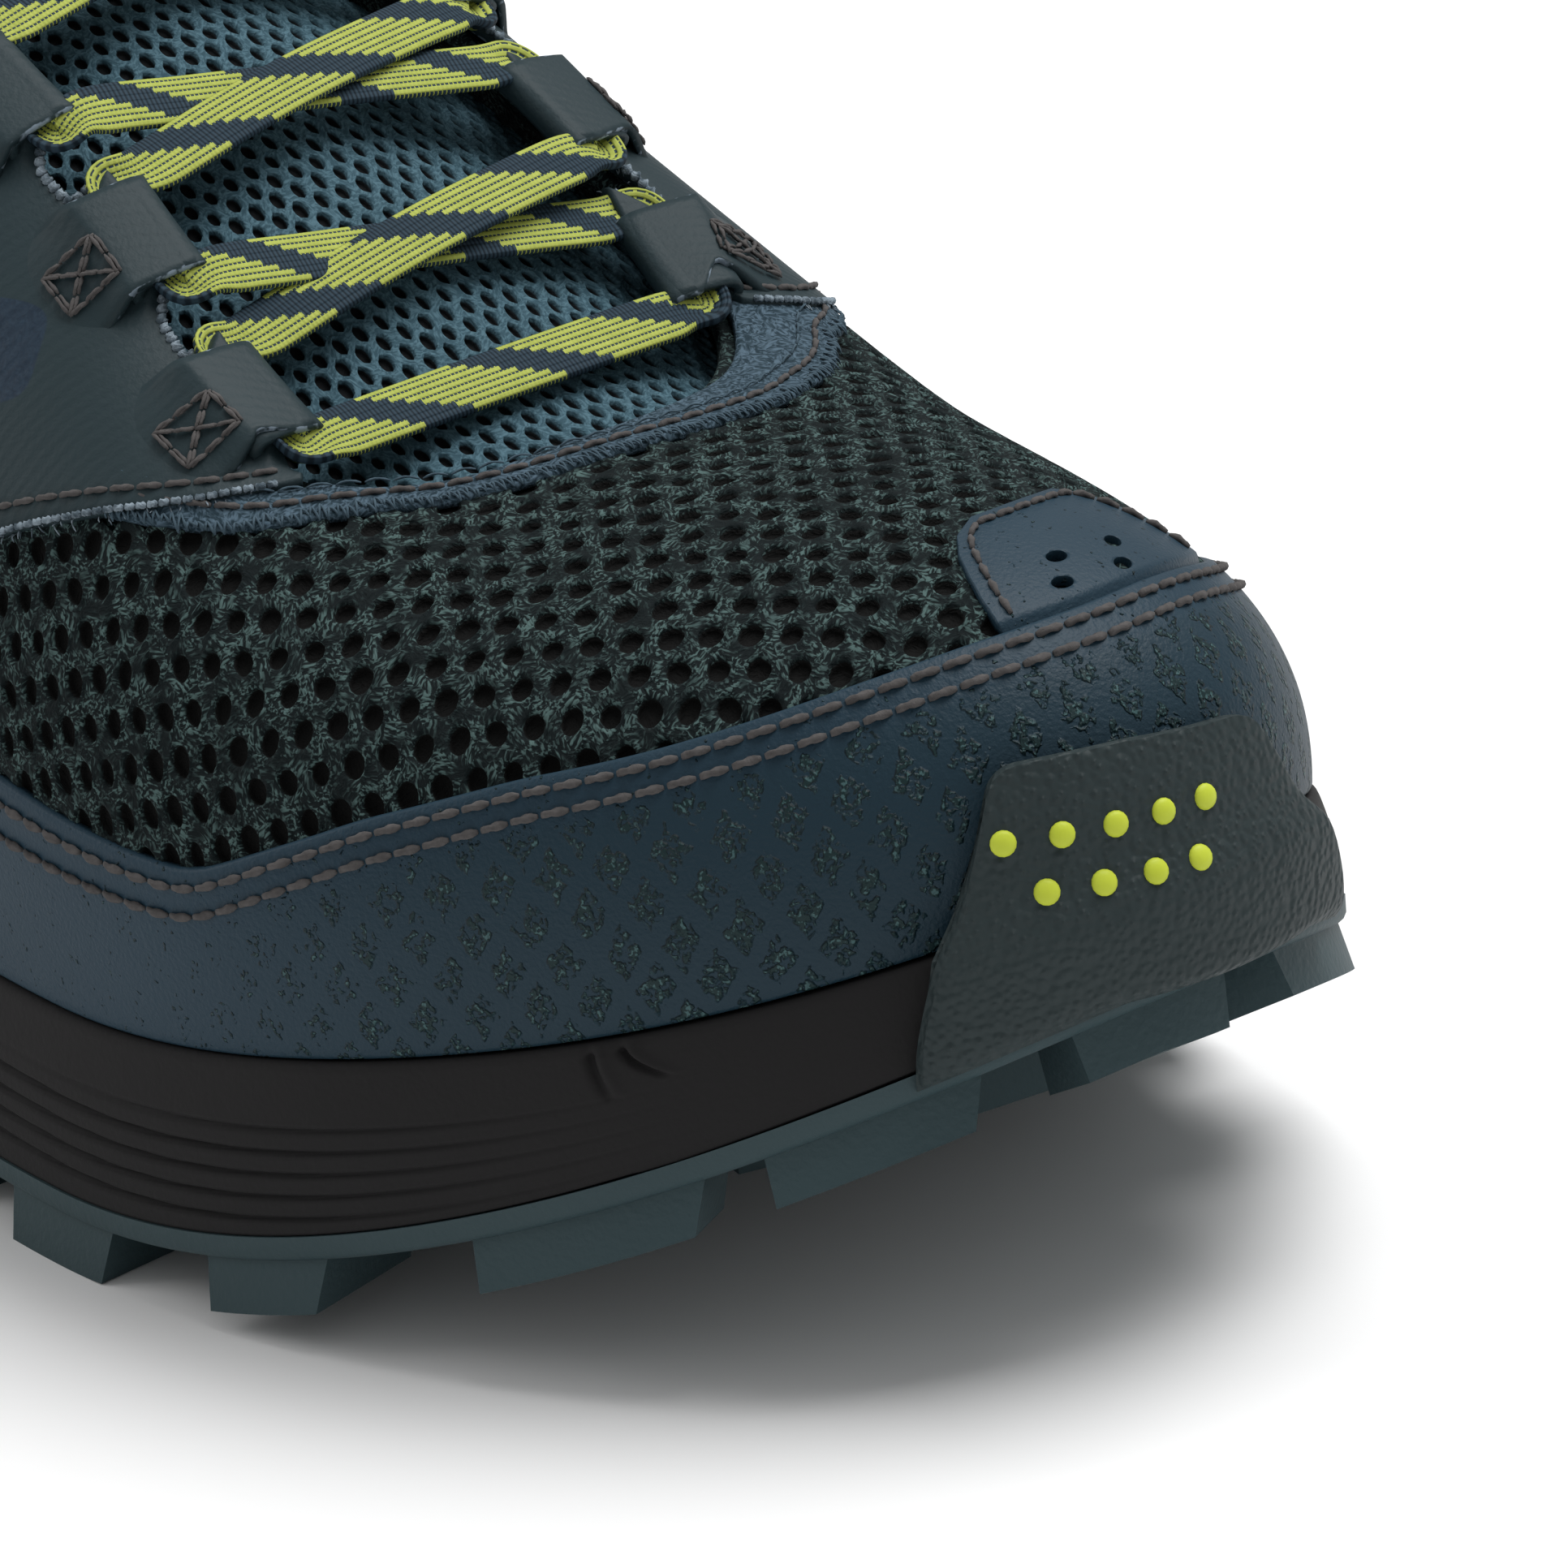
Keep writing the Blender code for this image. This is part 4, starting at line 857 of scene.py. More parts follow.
def stitch_row(share, up, lift, pitch=STITCH_PITCH):
    """Starts, stops and normals of stitches along a line on the upper, at a height over it."""
    lift = np.broadcast_to(lift, len(share))
    length = run_along(on_upper(share, up, lift))
    marks = np.linspace(0.0, length[-1], int(length[-1] / pitch) + 1)
    ends = [on_upper(*(np.interp(mark, length, item) for item in (share, up, lift)))
            for mark in (marks[:-1], marks[1:] - 0.12 * pitch)]
    middle = (marks[:-1] + marks[1:]) / 2.0
    return ends[0], ends[1], upper_normal(np.interp(middle, length, share), np.interp(middle, length, up))


def band_rows(share, low, high, count):
    """Shares up the wall of a band's rows, close together by both edges, with each row's height over the
    band's foot: 0 at the edges and 1 inside."""
    length = np.linalg.norm(upper_surface(share, high) - upper_surface(share, low), axis=-1)
    near = EDGE_ROUND / np.maximum(length, 4.0 * EDGE_ROUND)
    far = np.linspace(0.0, 1.0, count)[:, None]
    inside = near + far * (1.0 - 2.0 * near)
    edge = near * EDGE_STEPS[:, None]
    height = np.concatenate((EDGE_HEIGHTS, np.ones(count), EDGE_HEIGHTS[::-1]))
    return low + (high - low) * np.vstack((edge, inside, 1.0 - edge[::-1])), height


def band_columns(first, last, count):
    """Shares round the shoe of a band's columns, with close ones at both ends, and each one's height."""
    near = EDGE_ROUND / OUTLINE_LENGTH
    edge = near * EDGE_STEPS
    share = np.concatenate((first + edge, np.linspace(first + near, last - near, count), last - edge[::-1]))
    return share, np.concatenate((EDGE_HEIGHTS, np.ones(count), EDGE_HEIGHTS[::-1]))


def laid_sheet(name, share, up, height, gap, thickness, lift=0.0):
    """A closed sheet on the upper: its face stands over its back by the thickness, and meets it all round."""
    share, up, height = np.broadcast_arrays(share, up, height)
    length = np.linalg.norm(np.diff(upper_surface(share, up), axis=0), axis=-1)
    climb = np.concatenate((np.zeros((1, share.shape[1])), np.cumsum(length, axis=0)))
    pieces = []
    for out in (gap + thickness * height + lift, gap + 0.0 * height):
        sheet = shaped_grid(name, on_upper(share, up, out))
        for label, values in (
            ("round", share * OUTLINE_LENGTH), ("climb", climb), ("share", share), ("up", up),
            ("edge", 1.0 - height),
        ):
            vertex_value(sheet, label, values)
        pieces.append(sheet)
    return close_up(join_pieces(pieces))


def rim_gap(share):
    wall = 3.0 * (section_at(share)[:, 5] - rim_height(share)) * section_at(share)[:, 6]
    return 0.6 * OVERLAY_GAP / wall


def band(name, first, last, count, low_edge, high_edge, rows, gap, thickness):
    share, ends = band_columns(first, last, count)
    up, height = band_rows(share, low_edge(share), high_edge(share), rows)
    grid = np.broadcast_to(share, up.shape)
    return laid_sheet(name, grid, up, np.minimum(height[:, None], ends), gap, thickness)


margin = CLEARANCE / OUTLINE_LENGTH
rand = band(
    "rand_film", RAND[0][0] + margin, RAND[-1][0] - margin, 420, rim_gap,
    lambda share: smooth_edge(share, RAND), 24, OVERLAY_GAP, RAND_THICKNESS,
)
film, film_shader = new_material("rand_film", 0.5)
film_grain = grain(film, 0.00022)
film_tone = blend(film, grain(film, 0.012), (0.0120, 0.0330, 0.0520), (0.0180, 0.0420, 0.0630))
near_print = reckon(film, "MULTIPLY", value_of(film, "print"), 0.5)
film_tone = blend(film, near_print, film_tone, (0.0060, 0.0210, 0.0300))
film_round = reckon(film, "DIVIDE", value_of(film, "round"), PRINT_PITCH)
film_climb = reckon(film, "DIVIDE", value_of(film, "climb"), 2.0 * PRINT_ROW)
print_sides = [
    reckon(film, "PINGPONG", reckon(film, operation, film_round, film_climb), 0.5)
    for operation in ("ADD", "SUBTRACT")
]
print_motif = reckon(film, "SUBTRACT", 0.5, reckon(film, "MAXIMUM", *print_sides))
print_more = reckon(film, "MULTIPLY", value_of(film, "print"), 0.30)
print_spots = step_up(film, reckon(film, "ADD", grain(film, 0.00030, 1.0), print_more), 0.66, 0.76)
print_wander = reckon(film, "MULTIPLY", reckon(film, "SUBTRACT", grain(film, 0.0007), 0.5), 0.40)
print_motif = reckon(film, "ADD", print_motif, print_wander)
print_mask = reckon(film, "MULTIPLY", print_spots, step_up(film, print_motif, 0.15, 0.21))
print_mask = reckon(film, "MULTIPLY", print_mask, step_up(film, grain(film, 0.00042, 1.0), 0.38, 0.56))
# Painted highlights: the tops of part of the print's granules are painted a lighter teal, for the glints of
# light they catch.
print_painted_highlight = reckon(film, "MULTIPLY", print_mask, step_up(film, grain(film, 0.00018, 1.0), 0.54, 0.64))
film_tone = blend(film, print_mask, film_tone, (0.0070, 0.0230, 0.0250))
film_tone = blend(film, print_painted_highlight, film_tone, (0.0500, 0.1050, 0.1100))
film_relief = reckon(film, "ADD", film_grain, reckon(film, "MULTIPLY", print_mask, 4.0))
paint(film, film_shader, film_tone, film_relief, 0.00010)
rand_share, rand_up = values_at(rand, "share"), values_at(rand, "up")
near_toe = ramp(-np.abs(rand_share - 0.49), -0.165, -0.07)
vertex_value(rand, "print", near_toe * ramp(smooth_edge(rand_share, RAND) - rand_up, 0.062, 0.095))
finish_piece(rand, film, "rand_film", "rand")

thread, thread_shader = new_material("taupe_thread", 0.85)
thread_tone = blend(thread, grain(thread, 0.0004), (0.042, 0.040, 0.040), (0.118, 0.110, 0.108))
paint(thread, thread_shader, thread_tone, strands(thread, 0.003, 0.00010), 0.00006)
lift = OVERLAY_GAP + RAND_THICKNESS + 0.00012
share = np.linspace(RAND[0][0] + 0.004, RAND[-1][0] - 0.004, 1600)
rows = [stitch_row(share, smooth_edge(share, RAND) - below, lift) for below in (0.026, 0.062)]
share = np.linspace(COUNTER[0][0] + 0.004, COUNTER[-1][0] - 0.004, 600)
rows.append(stitch_row(share, smooth_edge(share, COUNTER) - 0.035, OVERLAY_GAP + COUNTER_THICKNESS + 0.00012))
stitches("rand_stitches", rows, THREAD_RADIUS, 0.0002, thread)
counter = band(
    "heel_film", COUNTER[0][0] + margin, COUNTER[-1][0] - margin, 160, rim_gap,
    lambda share: smooth_edge(share, COUNTER), 24, OVERLAY_GAP, COUNTER_THICKNESS,
)
finish_piece(counter, film, "rand_film", "heel_counter")

TOE_PATCH = (
    (0.378, 0.4865, 0.5430), (0.400, 0.4865, 0.5430), (0.445, 0.4875, 0.5420), (0.490, 0.4895, 0.5400),
    (0.530, 0.4920, 0.5375), (0.565, 0.4960, 0.5335), (0.590, 0.5030, 0.5270),
)


def from_border(rows, columns):
    """How many steps each place of a grid is from its nearest edge."""
    down, across = (np.minimum(np.arange(count), np.arange(count)[::-1]) for count in (rows, columns))
    return np.minimum(down[:, None], across)


def patch_grid(rows, columns):
    """The patch's places, its corners rounded, with their height over its foot."""
    table = columns_of(TOE_PATCH)
    where = 0.5 - 0.5 * np.cos(np.linspace(0.0, math.pi, rows))
    up = table[0][0] + (table[0][-1] - table[0][0]) * where
    first, last = np.interp(up, table[0], table[1]), np.interp(up, table[0], table[2])
    near = 0.5 - 0.5 * np.cos(np.linspace(0.0, math.pi, columns))
    share = first[:, None] + (last - first)[:, None] * near
    up_grid = np.broadcast_to(up[:, None], share.shape)
    return share, up_grid, np.array((0.0, 0.7, 1.0))[np.minimum(from_border(rows, columns), 2)]


patch_share, patch_up, patch_height = patch_grid(44, 60)
patch_height = patch_height * (0.25 + 0.75 * ramp(patch_up, 0.380, 0.402))
patch = laid_sheet("toe_patch_film", patch_share, patch_up, patch_height, OVERLAY_GAP, RAND_THICKNESS)
VENTS = ((0.5055, 0.470), (0.5185, 0.460), (0.5145, 0.418), (0.5015, 0.426))
VENT_RADIUS = 0.0009
VENT_STRETCH = 1.3
for share_at, up_at in VENTS:
    centre = on_upper(share_at, up_at, 0.0) + PLACE
    outward = Vector(upper_normal(np.array(share_at), np.array(up_at)))
    select_only()
    bpy.ops.mesh.primitive_cylinder_add(
        vertices=20, radius=VENT_RADIUS, depth=0.008, location=tuple(centre.ravel()),
        rotation=outward.to_track_quat("Z", "Y").to_euler(),
    )
    punch = bpy.context.object
    punch.scale = (VENT_STRETCH, 0.9, 1.0)
    cut = patch.modifiers.new("vent", "BOOLEAN")
    cut.operation = "DIFFERENCE"
    cut.solver = "EXACT"
    cut.object = punch
    select_only(patch)
    bpy.ops.object.modifier_apply(modifier="vent")
    bpy.data.objects.remove(punch, do_unlink=True)
finish_piece(patch, film, "rand_film", "toe_patch")
PATCH_MARGIN = 0.0029
PATCH_CORNER = 2.2 * PATCH_MARGIN
side_up = np.linspace(0.405, 0.560, 12)
side_shares = [np.interp(side_up, *columns_of(TOE_PATCH)[[0, column]]) for column in (1, 2)]
top_shares = np.linspace(side_shares[0][-1] + PATCH_CORNER, side_shares[1][-1] - PATCH_CORNER, 6)
line_share = np.concatenate((side_shares[0] + PATCH_MARGIN, top_shares, side_shares[1][::-1] - PATCH_MARGIN))
line_up = np.concatenate((side_up, np.full(6, 0.572), side_up[::-1]))
patch_row = stitch_row(line_share, line_up, lift, 0.0024)
stitches("patch_stitches", [patch_row], 0.8 * THREAD_RADIUS, 0.00015, thread)


# Vamp seam
# The vamp's raw edge round the front of the throat, bound with a blue-grey oversewn band. A row of taupe
# stitches runs along it, and a finer row in its own colour.

SEAM_THICKNESS = 0.0009
SEAM_WIDTH = 0.0048
SEAM_TOP = 0.988


def seam_edges(share):
    """The band's lower and upper edge, and the share up the wall that its width takes."""
    low = smooth_edge(share, SEAM)
    small = 1e-3
    per_metre = small / np.linalg.norm(upper_surface(share, low + small) - upper_surface(share, low), axis=1)
    high = np.minimum(low + SEAM_WIDTH * per_metre, SEAM_TOP)
    to_throat = ramp(share, 0.375, 0.395) * ramp(-share, -0.625, -0.605)
    return low, high + (SEAM_TOP - high) * to_throat, SEAM_WIDTH * per_metre


SEAM_FIRST = 0.334
SEAM_LAST = 0.643
vamp_seam = band(
    "vamp_seam_band", SEAM_FIRST, SEAM_LAST, 240, lambda share: seam_edges(share)[0],
    lambda share: seam_edges(share)[1], 12, OVERLAY_GAP, SEAM_THICKNESS,
)
seam_cloth, seam_shader = new_material("seam_thread", 0.85)
seam_strands = strands(seam_cloth, 0.0012, 0.00016)
seam_light = step_up(seam_cloth, seam_strands, 0.35, 0.70)
seam_tone = blend(seam_cloth, seam_light, (0.012, 0.028, 0.040), (0.075, 0.120, 0.160))
paint(seam_cloth, seam_shader, seam_tone, seam_strands, 0.00022)
finish_piece(vamp_seam, seam_cloth, "seam_thread", "vamp_seam")

share = np.linspace(SEAM_FIRST, SEAM_LAST, 900)
low, high, seam_step = seam_edges(share)
lift = OVERLAY_GAP + SEAM_THICKNESS
seam_rows = [stitch_row(share, low + seam_step * part, lift + 0.0001, 0.0026) for part in (0.52, 0.90)]
stitches("seam_stitches", seam_rows[:1], 0.8 * THREAD_RADIUS, 0.00015, thread)

OVERLOCK_PITCH = 0.00085
overlock = speckled(
    "overlock_thread", 0.9, 0.0005, (0.030, 0.055, 0.075), (0.085, 0.130, 0.165), 0.00015, 0.00003,
)
length = run_along(on_upper(share, low, 0.0))
marks = np.arange(0.0, length[-1], OVERLOCK_PITCH)
mark_share = np.interp(marks, length, share)
mark_low, mark_step = np.interp(marks, length, low), np.interp(marks, length, seam_step)
turns = np.random.default_rng(5)
foot_up = mark_low - mark_step * turns.uniform(-0.08, 0.10, len(marks))
head_up = mark_low + mark_step * turns.uniform(0.12, 0.36, len(marks))
feet = on_upper(mark_share, foot_up, 0.0006 + KNIT_THICKNESS * 0.5)
heads = on_upper(mark_share, head_up, lift + 0.0001)
normals = upper_normal(mark_share, mark_low)
rows = [(feet[:-1], heads[:-1], normals[:-1]), (heads[:-1], feet[1:], normals[1:]), seam_rows[1]]
stitches("seam_overlock", rows, 0.00014, 0.00030, overlock)


# Eyestays and lace loops
# A ribbed dark synthetic band each side of the laces. Its edge is cut in scallops, and the tabs left between
# them are rolled over and sewn down as the loops that the laces run through.

EYESTAY_THICKNESS = 0.0012
EYESTAY_GAP = 0.0007
EYESTAY_TOP = 1.10
EYESTAY_NOTCH = 0.985
LOOP_ROWS = 5
LOOP_PITCH = 0.0208
FIRST_LOOP = 0.0373
THROAT_FRONT = 0.475
LOOP_REACH = 0.0018
LOOP_LENGTH = 0.0115
LOOP_WIDTH = 0.0078
LOOP_HEIGHT = 0.0032
LOOP_SLOT_WIDTH = 0.0060
LOOP_SLOT_HEIGHT = 0.0018
HOOP_POINTS = 28


def throat_edge(side):
    """The opening's edge beside the laces, from its front to the collar, with its shares and lengths."""
    share = np.linspace(THROAT_FRONT, 0.20 if side < 0 else 0.80, 400)
    return share, run_along(upper_surface(share, 1.0))


def smooth_path(points, steps):
    """A smooth line through points, by a spline that passes through each of them."""
    points = np.asarray(points, float)
    padded = np.vstack((2 * points[0] - points[1], points, 2 * points[-1] - points[-2]))
    line = []
    for i in range(len(points) - 1):
        a, b, c, d = padded[i:i + 4]
        bend, twist = 2 * a - 5 * b + 4 * c - d, 3 * b - a - 3 * c + d
        for t in np.linspace(0.0, 1.0, steps, endpoint=False):
            line.append(0.5 * (2 * b + (c - a) * t + bend * t ** 2 + twist * t ** 3))
    line.append(points[-1])
    return np.array(line)


def loop_frame(side, row):
    """Centre of a lace loop, and unit vectors along the throat to the toe, in towards the laces, and out."""
    share, length = throat_edge(side)
    where = FIRST_LOOP + row * LOOP_PITCH
    near, at, far = np.interp((where - LOOP_LENGTH / 2.0, where, where + LOOP_LENGTH / 2.0), length, share)
    front, edge, rear = upper_surface(np.array((near, at, far)), np.ones(3))
    forward = (front - rear) / np.linalg.norm(front - rear)
    out = upper_normal(np.array(at), np.array(1.0))
    out = out - forward * np.dot(out, forward)
    out /= np.linalg.norm(out)
    across = np.cross(out, forward) * -side
    lift = EYESTAY_GAP + 0.2 * EYESTAY_THICKNESS + LOOP_HEIGHT / 2.0
    return edge + across * LOOP_REACH + out * lift, forward, across, out


def flat_hoop(width, height):
    """A rounded flat hoop of points round the origin, wide along the first axis."""
    angle = 2.0 * math.pi * (np.arange(HOOP_POINTS) + 0.5) / HOOP_POINTS
    wide = np.sign(np.cos(angle)) * np.abs(np.cos(angle)) ** 0.55 * width / 2.0
    high = np.sign(np.sin(angle)) * np.abs(np.sin(angle)) ** 0.70 * height / 2.0
    return np.column_stack((wide, high))


def lace_sleeve(name, side, row):
    """A rolled loop: a flat sleeve with softly flared ends, open right through."""
    centre, forward, across, out = loop_frame(side, row)
    rows = []
    for width, height, ends in (
        (LOOP_WIDTH, LOOP_HEIGHT, np.linspace(-1.0, 1.0, 13)),
        (LOOP_SLOT_WIDTH, LOOP_SLOT_HEIGHT, np.linspace(1.0, -1.0, 13)),
    ):
        for end in ends:
            swell = 1.0 + 0.05 * end * end if width == LOOP_WIDTH else 1.0 + 0.10 * end * end
            hoop = flat_hoop(width * (2.0 - swell), height * swell)
            rows.append(centre + hoop[:, :1] * across + hoop[:, 1:] * out + end * forward * LOOP_LENGTH / 2.0)
    return shaped_grid(name, rows, closed_round=True, closed_across=True)


def eyestay_top(side, share):
    """The upper edge of an eyestay, cut in scallops between the tabs, and how far it is from a loop."""
    rows = eyestay_line(side)[0]
    edge_share, edge_length = throat_edge(side)
    order = np.argsort(edge_share)
    where = np.interp(share, edge_share[order], edge_length[order])
    nearest = np.clip(np.round((where - FIRST_LOOP) / LOOP_PITCH), 0, LOOP_ROWS - 1)
    from_loop = np.abs(where - FIRST_LOOP - nearest * LOOP_PITCH)
    taper = ramp(share, rows[0], rows[0] + 0.008) * ramp(-share, -rows[-1], -rows[-1] + 0.008)
    tab = ramp(-from_loop, -0.0084, -0.0050) * taper
    return EYESTAY_NOTCH + (EYESTAY_TOP - EYESTAY_NOTCH) * tab, from_loop


def eyestay_band(name, side):
    rows, low = eyestay_line(side)
    share, ends = band_columns(rows[0], rows[-1], 300)
    high_edge, from_loop = eyestay_top(side, share)
    up, height = band_rows(share, np.interp(share, rows, low), high_edge, 40)
    height = np.minimum(height[:, None], ends)
    swell = 0.0012 * ramp(up, 0.93, 1.06) * ramp(-from_loop, -0.0066, -0.0050)
    return laid_sheet(name, share, up, height, EYESTAY_GAP, EYESTAY_THICKNESS, swell * height)


TAB_THICKNESS = 0.0008
TAB_BELOW = (0.0009, 0.0021, 0.0034, 0.0048, 0.0066, 0.0090)
BOX_BACK = 0.0042
BOX_FORWARD = 0.0010
BOX_HALF = 0.0025
BOX_ROUND = ((-1, -1), (1, -1), (1, 1), (-1, 1), (-1, -1), (1, 1), (1, -1), (-1, 1))
BOX_THREAD_APART = 0.004
WALL_METRES = 0.05


def beside_loop(side, row):
    """The place on the upper by a loop's stitched box, and its change along the throat and towards the laces.

    A place is a share round the shoe and a share up the wall, which is about WALL_METRES long here."""
    edge_share, edge_length = throat_edge(side)
    centre, forward, across, out = loop_frame(side, row)
    small = 0.001
    place = np.array((np.interp(FIRST_LOOP + row * LOOP_PITCH, edge_length, edge_share), 1.0))
    target = upper_surface(*place) - across * BOX_BACK
    for _ in range(4):
        here = upper_surface(*place)
        ahead = upper_surface(place[0] + small, place[1])
        lower = upper_surface(place[0], place[1] - small)
        slopes = np.column_stack((ahead - here, here - lower)) / small
        place = place + np.linalg.pinv(slopes) @ (target - here)
    return place[:, None], np.linalg.pinv(slopes) @ np.column_stack((forward, across))


def cover_lift(below, end):
    """How high a tab stands over the eyestay, by the distance from the throat and from the tab's middle."""
    rise = np.interp(below, TAB_BELOW, (0.0027, 0.0024, 0.0016, 0.0009, 0.0003, -0.0003))
    return rise - 0.0009 * np.abs(end) ** 3 * ramp(below, 0.002, 0.005)


def loop_cover(name, side, row):
    """The tab that rises out of the eyestay over a sleeve and is turned down beside the laces."""
    centre, forward, across, out = loop_frame(side, row)
    foot_place, foot_slopes = beside_loop(side, row)
    rows = []
    for place in np.concatenate(((-1.03,), np.linspace(-1.0, 1.0, 15), (1.03,))):
        end = np.clip(place, -1.0, 1.0)
        line = []
        for below in TAB_BELOW[::-1]:
            spread = end * LOOP_LENGTH / 2.0 * (1.0 + 0.3 * below / 0.009)
            share, up = foot_place + foot_slopes @ np.array(((spread,), (BOX_BACK - below,)))
            height = EYESTAY_GAP + EYESTAY_THICKNESS + cover_lift(below, end)
            line.append(on_upper(share, np.minimum(up, 0.999), np.array((height,)))[0])
        for aside, high in ((0.12, 0.53), (0.44, 0.34), (0.515, -0.05), (0.46, -0.46)):
            flare = 1.0 + 0.03 * end * end
            beside = across * (aside * LOOP_WIDTH * flare) + out * (high * LOOP_HEIGHT * flare)
            line.append(centre + beside + forward * (place * LOOP_LENGTH / 2.0))
        line = smooth_path(line, 4)
        ahead = np.gradient(line, axis=0)
        away = unit(np.cross(ahead, forward) * side)
        inner_line = line - away * TAB_THICKNESS
        if abs(place) > 1.0:
            line = inner_line = (line + inner_line) / 2.0
        rows.append(np.vstack((line, inner_line[::-1])))
    cover = shaped_grid(name, rows, closed_round=True)
    count = len(rows[0]) + 1
    frayed = np.abs(np.arange(len(rows)) - len(rows) // 2) >= len(rows) // 2 - 1
    by_laces = np.tile(np.arange(count) > 15, len(rows))
    vertex_value(cover, "edge", np.repeat(frayed.astype(float), count) * by_laces)
    return cover


synthetic, synthetic_shader = new_material("eyestay_synthetic", 0.55)
rib_place = node(synthetic, "ShaderNodeVectorRotate", {
    "Vector": places(synthetic), "Axis": (0.0, 0.0, 1.0), "Angle": math.radians(28.0),
}).outputs[0]
ribs = stripes(synthetic, rib_place, 0.0011)
synthetic_tone = blend(synthetic, grain(synthetic, 0.008), (0.0140, 0.0270, 0.0320), (0.0210, 0.0370, 0.0430))
window_share = value_of(synthetic, "share")
window_slant = reckon(synthetic, "MULTIPLY", window_share, 6.0)
window_up = reckon(synthetic, "SUBTRACT", value_of(synthetic, "up"), window_slant)
window = []
for item, middle, half in ((window_share, 0.298, 0.0155), (window_up, -1.133, 0.076)):
    offset = reckon(synthetic, "ABSOLUTE", reckon(synthetic, "SUBTRACT", item, middle))
    window.append(reckon(synthetic, "POWER", reckon(synthetic, "DIVIDE", offset, half), 5.0))
window = reckon(synthetic, "SUBTRACT", 1.0, step_up(synthetic, reckon(synthetic, "ADD", *window), 0.9, 1.1))
window_weave = strands(synthetic, 0.0010, 0.00020)
window_tone = blend(synthetic, window_weave, (0.006, 0.014, 0.027), (0.022, 0.042, 0.066))
synthetic_tone = blend(synthetic, window, synthetic_tone, window_tone)
fray_share = reckon(synthetic, "ADD", value_of(synthetic, "edge"), grain(synthetic, 0.0006))
fray_share = step_up(synthetic, fray_share, 1.46, 1.60)
synthetic_tone = blend(synthetic, fray_share, synthetic_tone, (0.180, 0.230, 0.280))
rib_relief = reckon(synthetic, "MULTIPLY", ribs, 0.35)
synthetic_relief = reckon(synthetic, "ADD", grain(synthetic, 0.00025), rib_relief)
paint(synthetic, synthetic_shader, synthetic_tone, synthetic_relief, 0.00006)

fray_rows, cord_rows, scallop_rows, box_rows, edge_rows = [], [], [], [], []
for name, side in (("eyestay_outer", -1), ("eyestay_inner", 1)):
    pieces = [eyestay_band(name + "_band", side)]
    for row in range(LOOP_ROWS):
        pieces += [lace_sleeve(name + "_sleeve", side, row), loop_cover(name + "_cover", side, row)]
        place, slopes = beside_loop(side, row)
        corners = np.array(BOX_ROUND) * BOX_HALF + (BOX_FORWARD, 0.0)
        for i in (0, 1, 2, 3, 4, 6):
            line = np.linspace(corners[i], corners[i + 1], 12).T
            leg = place + slopes @ line
            rise = np.maximum(cover_lift(BOX_BACK - line[1], line[0] / (0.5 * LOOP_LENGTH)), 0.0)
            lift = EYESTAY_GAP + EYESTAY_THICKNESS + rise + 0.0003
            for aside in (-BOX_THREAD_APART, BOX_THREAD_APART):
                beside = leg[0] + aside * abs(slopes[0, 0]) * WALL_METRES
                box_rows.append(stitch_row(beside, leg[1] + aside, lift, 0.0018))
    rows, low = eyestay_line(side)
    share = np.linspace(rows[0] + 0.004, rows[-1] - 0.006, 700)
    low = np.interp(share, rows, low)
    edge_rows.append(stitch_row(share, low + 0.035, EYESTAY_GAP + EYESTAY_THICKNESS + 0.0001, 0.0026))
    high, from_loop = eyestay_top(side, share)
    for line, way in ((high, 1.0), (low, -1.0)):
        length = run_along(on_upper(share, line, EYESTAY_GAP + 0.5 * EYESTAY_THICKNESS))
        marks = turns.uniform(0.0, length[-1], int(length[-1] / 0.0008))
        mark_share, mark_up = np.interp(marks, length, share), np.interp(marks, length, line)
        count = len(marks)
        fray_height = EYESTAY_GAP + EYESTAY_THICKNESS * turns.uniform(0.2, 0.9, count)
        roots = on_upper(mark_share, mark_up, fray_height)
        tip_share = mark_share + turns.uniform(-0.0012, 0.0012, count)
        tip_up = mark_up + way * turns.uniform(0.003, 0.012, count)
        tip_height = EYESTAY_GAP + EYESTAY_THICKNESS * turns.uniform(0.0, 1.1, count)
        tips = on_upper(tip_share, tip_up, tip_height)
        fray_rows.append((roots, tips, upper_normal(mark_share, np.minimum(mark_up, 1.0))))
        open_edge = from_loop > 0.0058 if way > 0 else share > 0.0
        for piece in np.split(np.arange(len(share)), np.flatnonzero(np.diff(open_edge.astype(int))) + 1):
            if open_edge[piece[0]] and len(piece) > 8:
                line_up = line[piece] - way * 0.004
                cord = stitch_row(share[piece], line_up, EYESTAY_GAP + EYESTAY_THICKNESS, 0.0011)
                (scallop_rows if way > 0 else cord_rows).append(cord)
    eyestay = close_up(join_pieces(pieces))
    finish_piece(eyestay, synthetic, "eyestay_synthetic", name)
stitches("box_stitches", box_rows, 0.00023, 0.00012, thread)
stitches("eyestay_stitches", edge_rows, 0.8 * THREAD_RADIUS, 0.00015, thread)
cut_edge, cut_shader = new_material("cut_edge", 0.9)
cut_light = step_up(cut_edge, grain(cut_edge, 0.0006), 0.35, 0.65)
cut_tone = blend(cut_edge, cut_light, (0.060, 0.085, 0.105), (0.260, 0.320, 0.370))
paint(cut_edge, cut_shader, cut_tone, strands(cut_edge, 0.0008, 0.00010), 0.00020)
stitches("eyestay_fray", fray_rows, 0.00008, 0.0001, cut_edge)
stitches("eyestay_cut_edge", cord_rows, 0.00040, 0.00005, cut_edge)
stitches("eyestay_scallop_edge", scallop_rows, 0.00060, 0.00010, cut_edge)


# Tongue
# A padded tongue of open mesh under the laces, sewn in below the vamp's edge and standing above the collar.
# The mesh has long narrow holes in staggered rows.

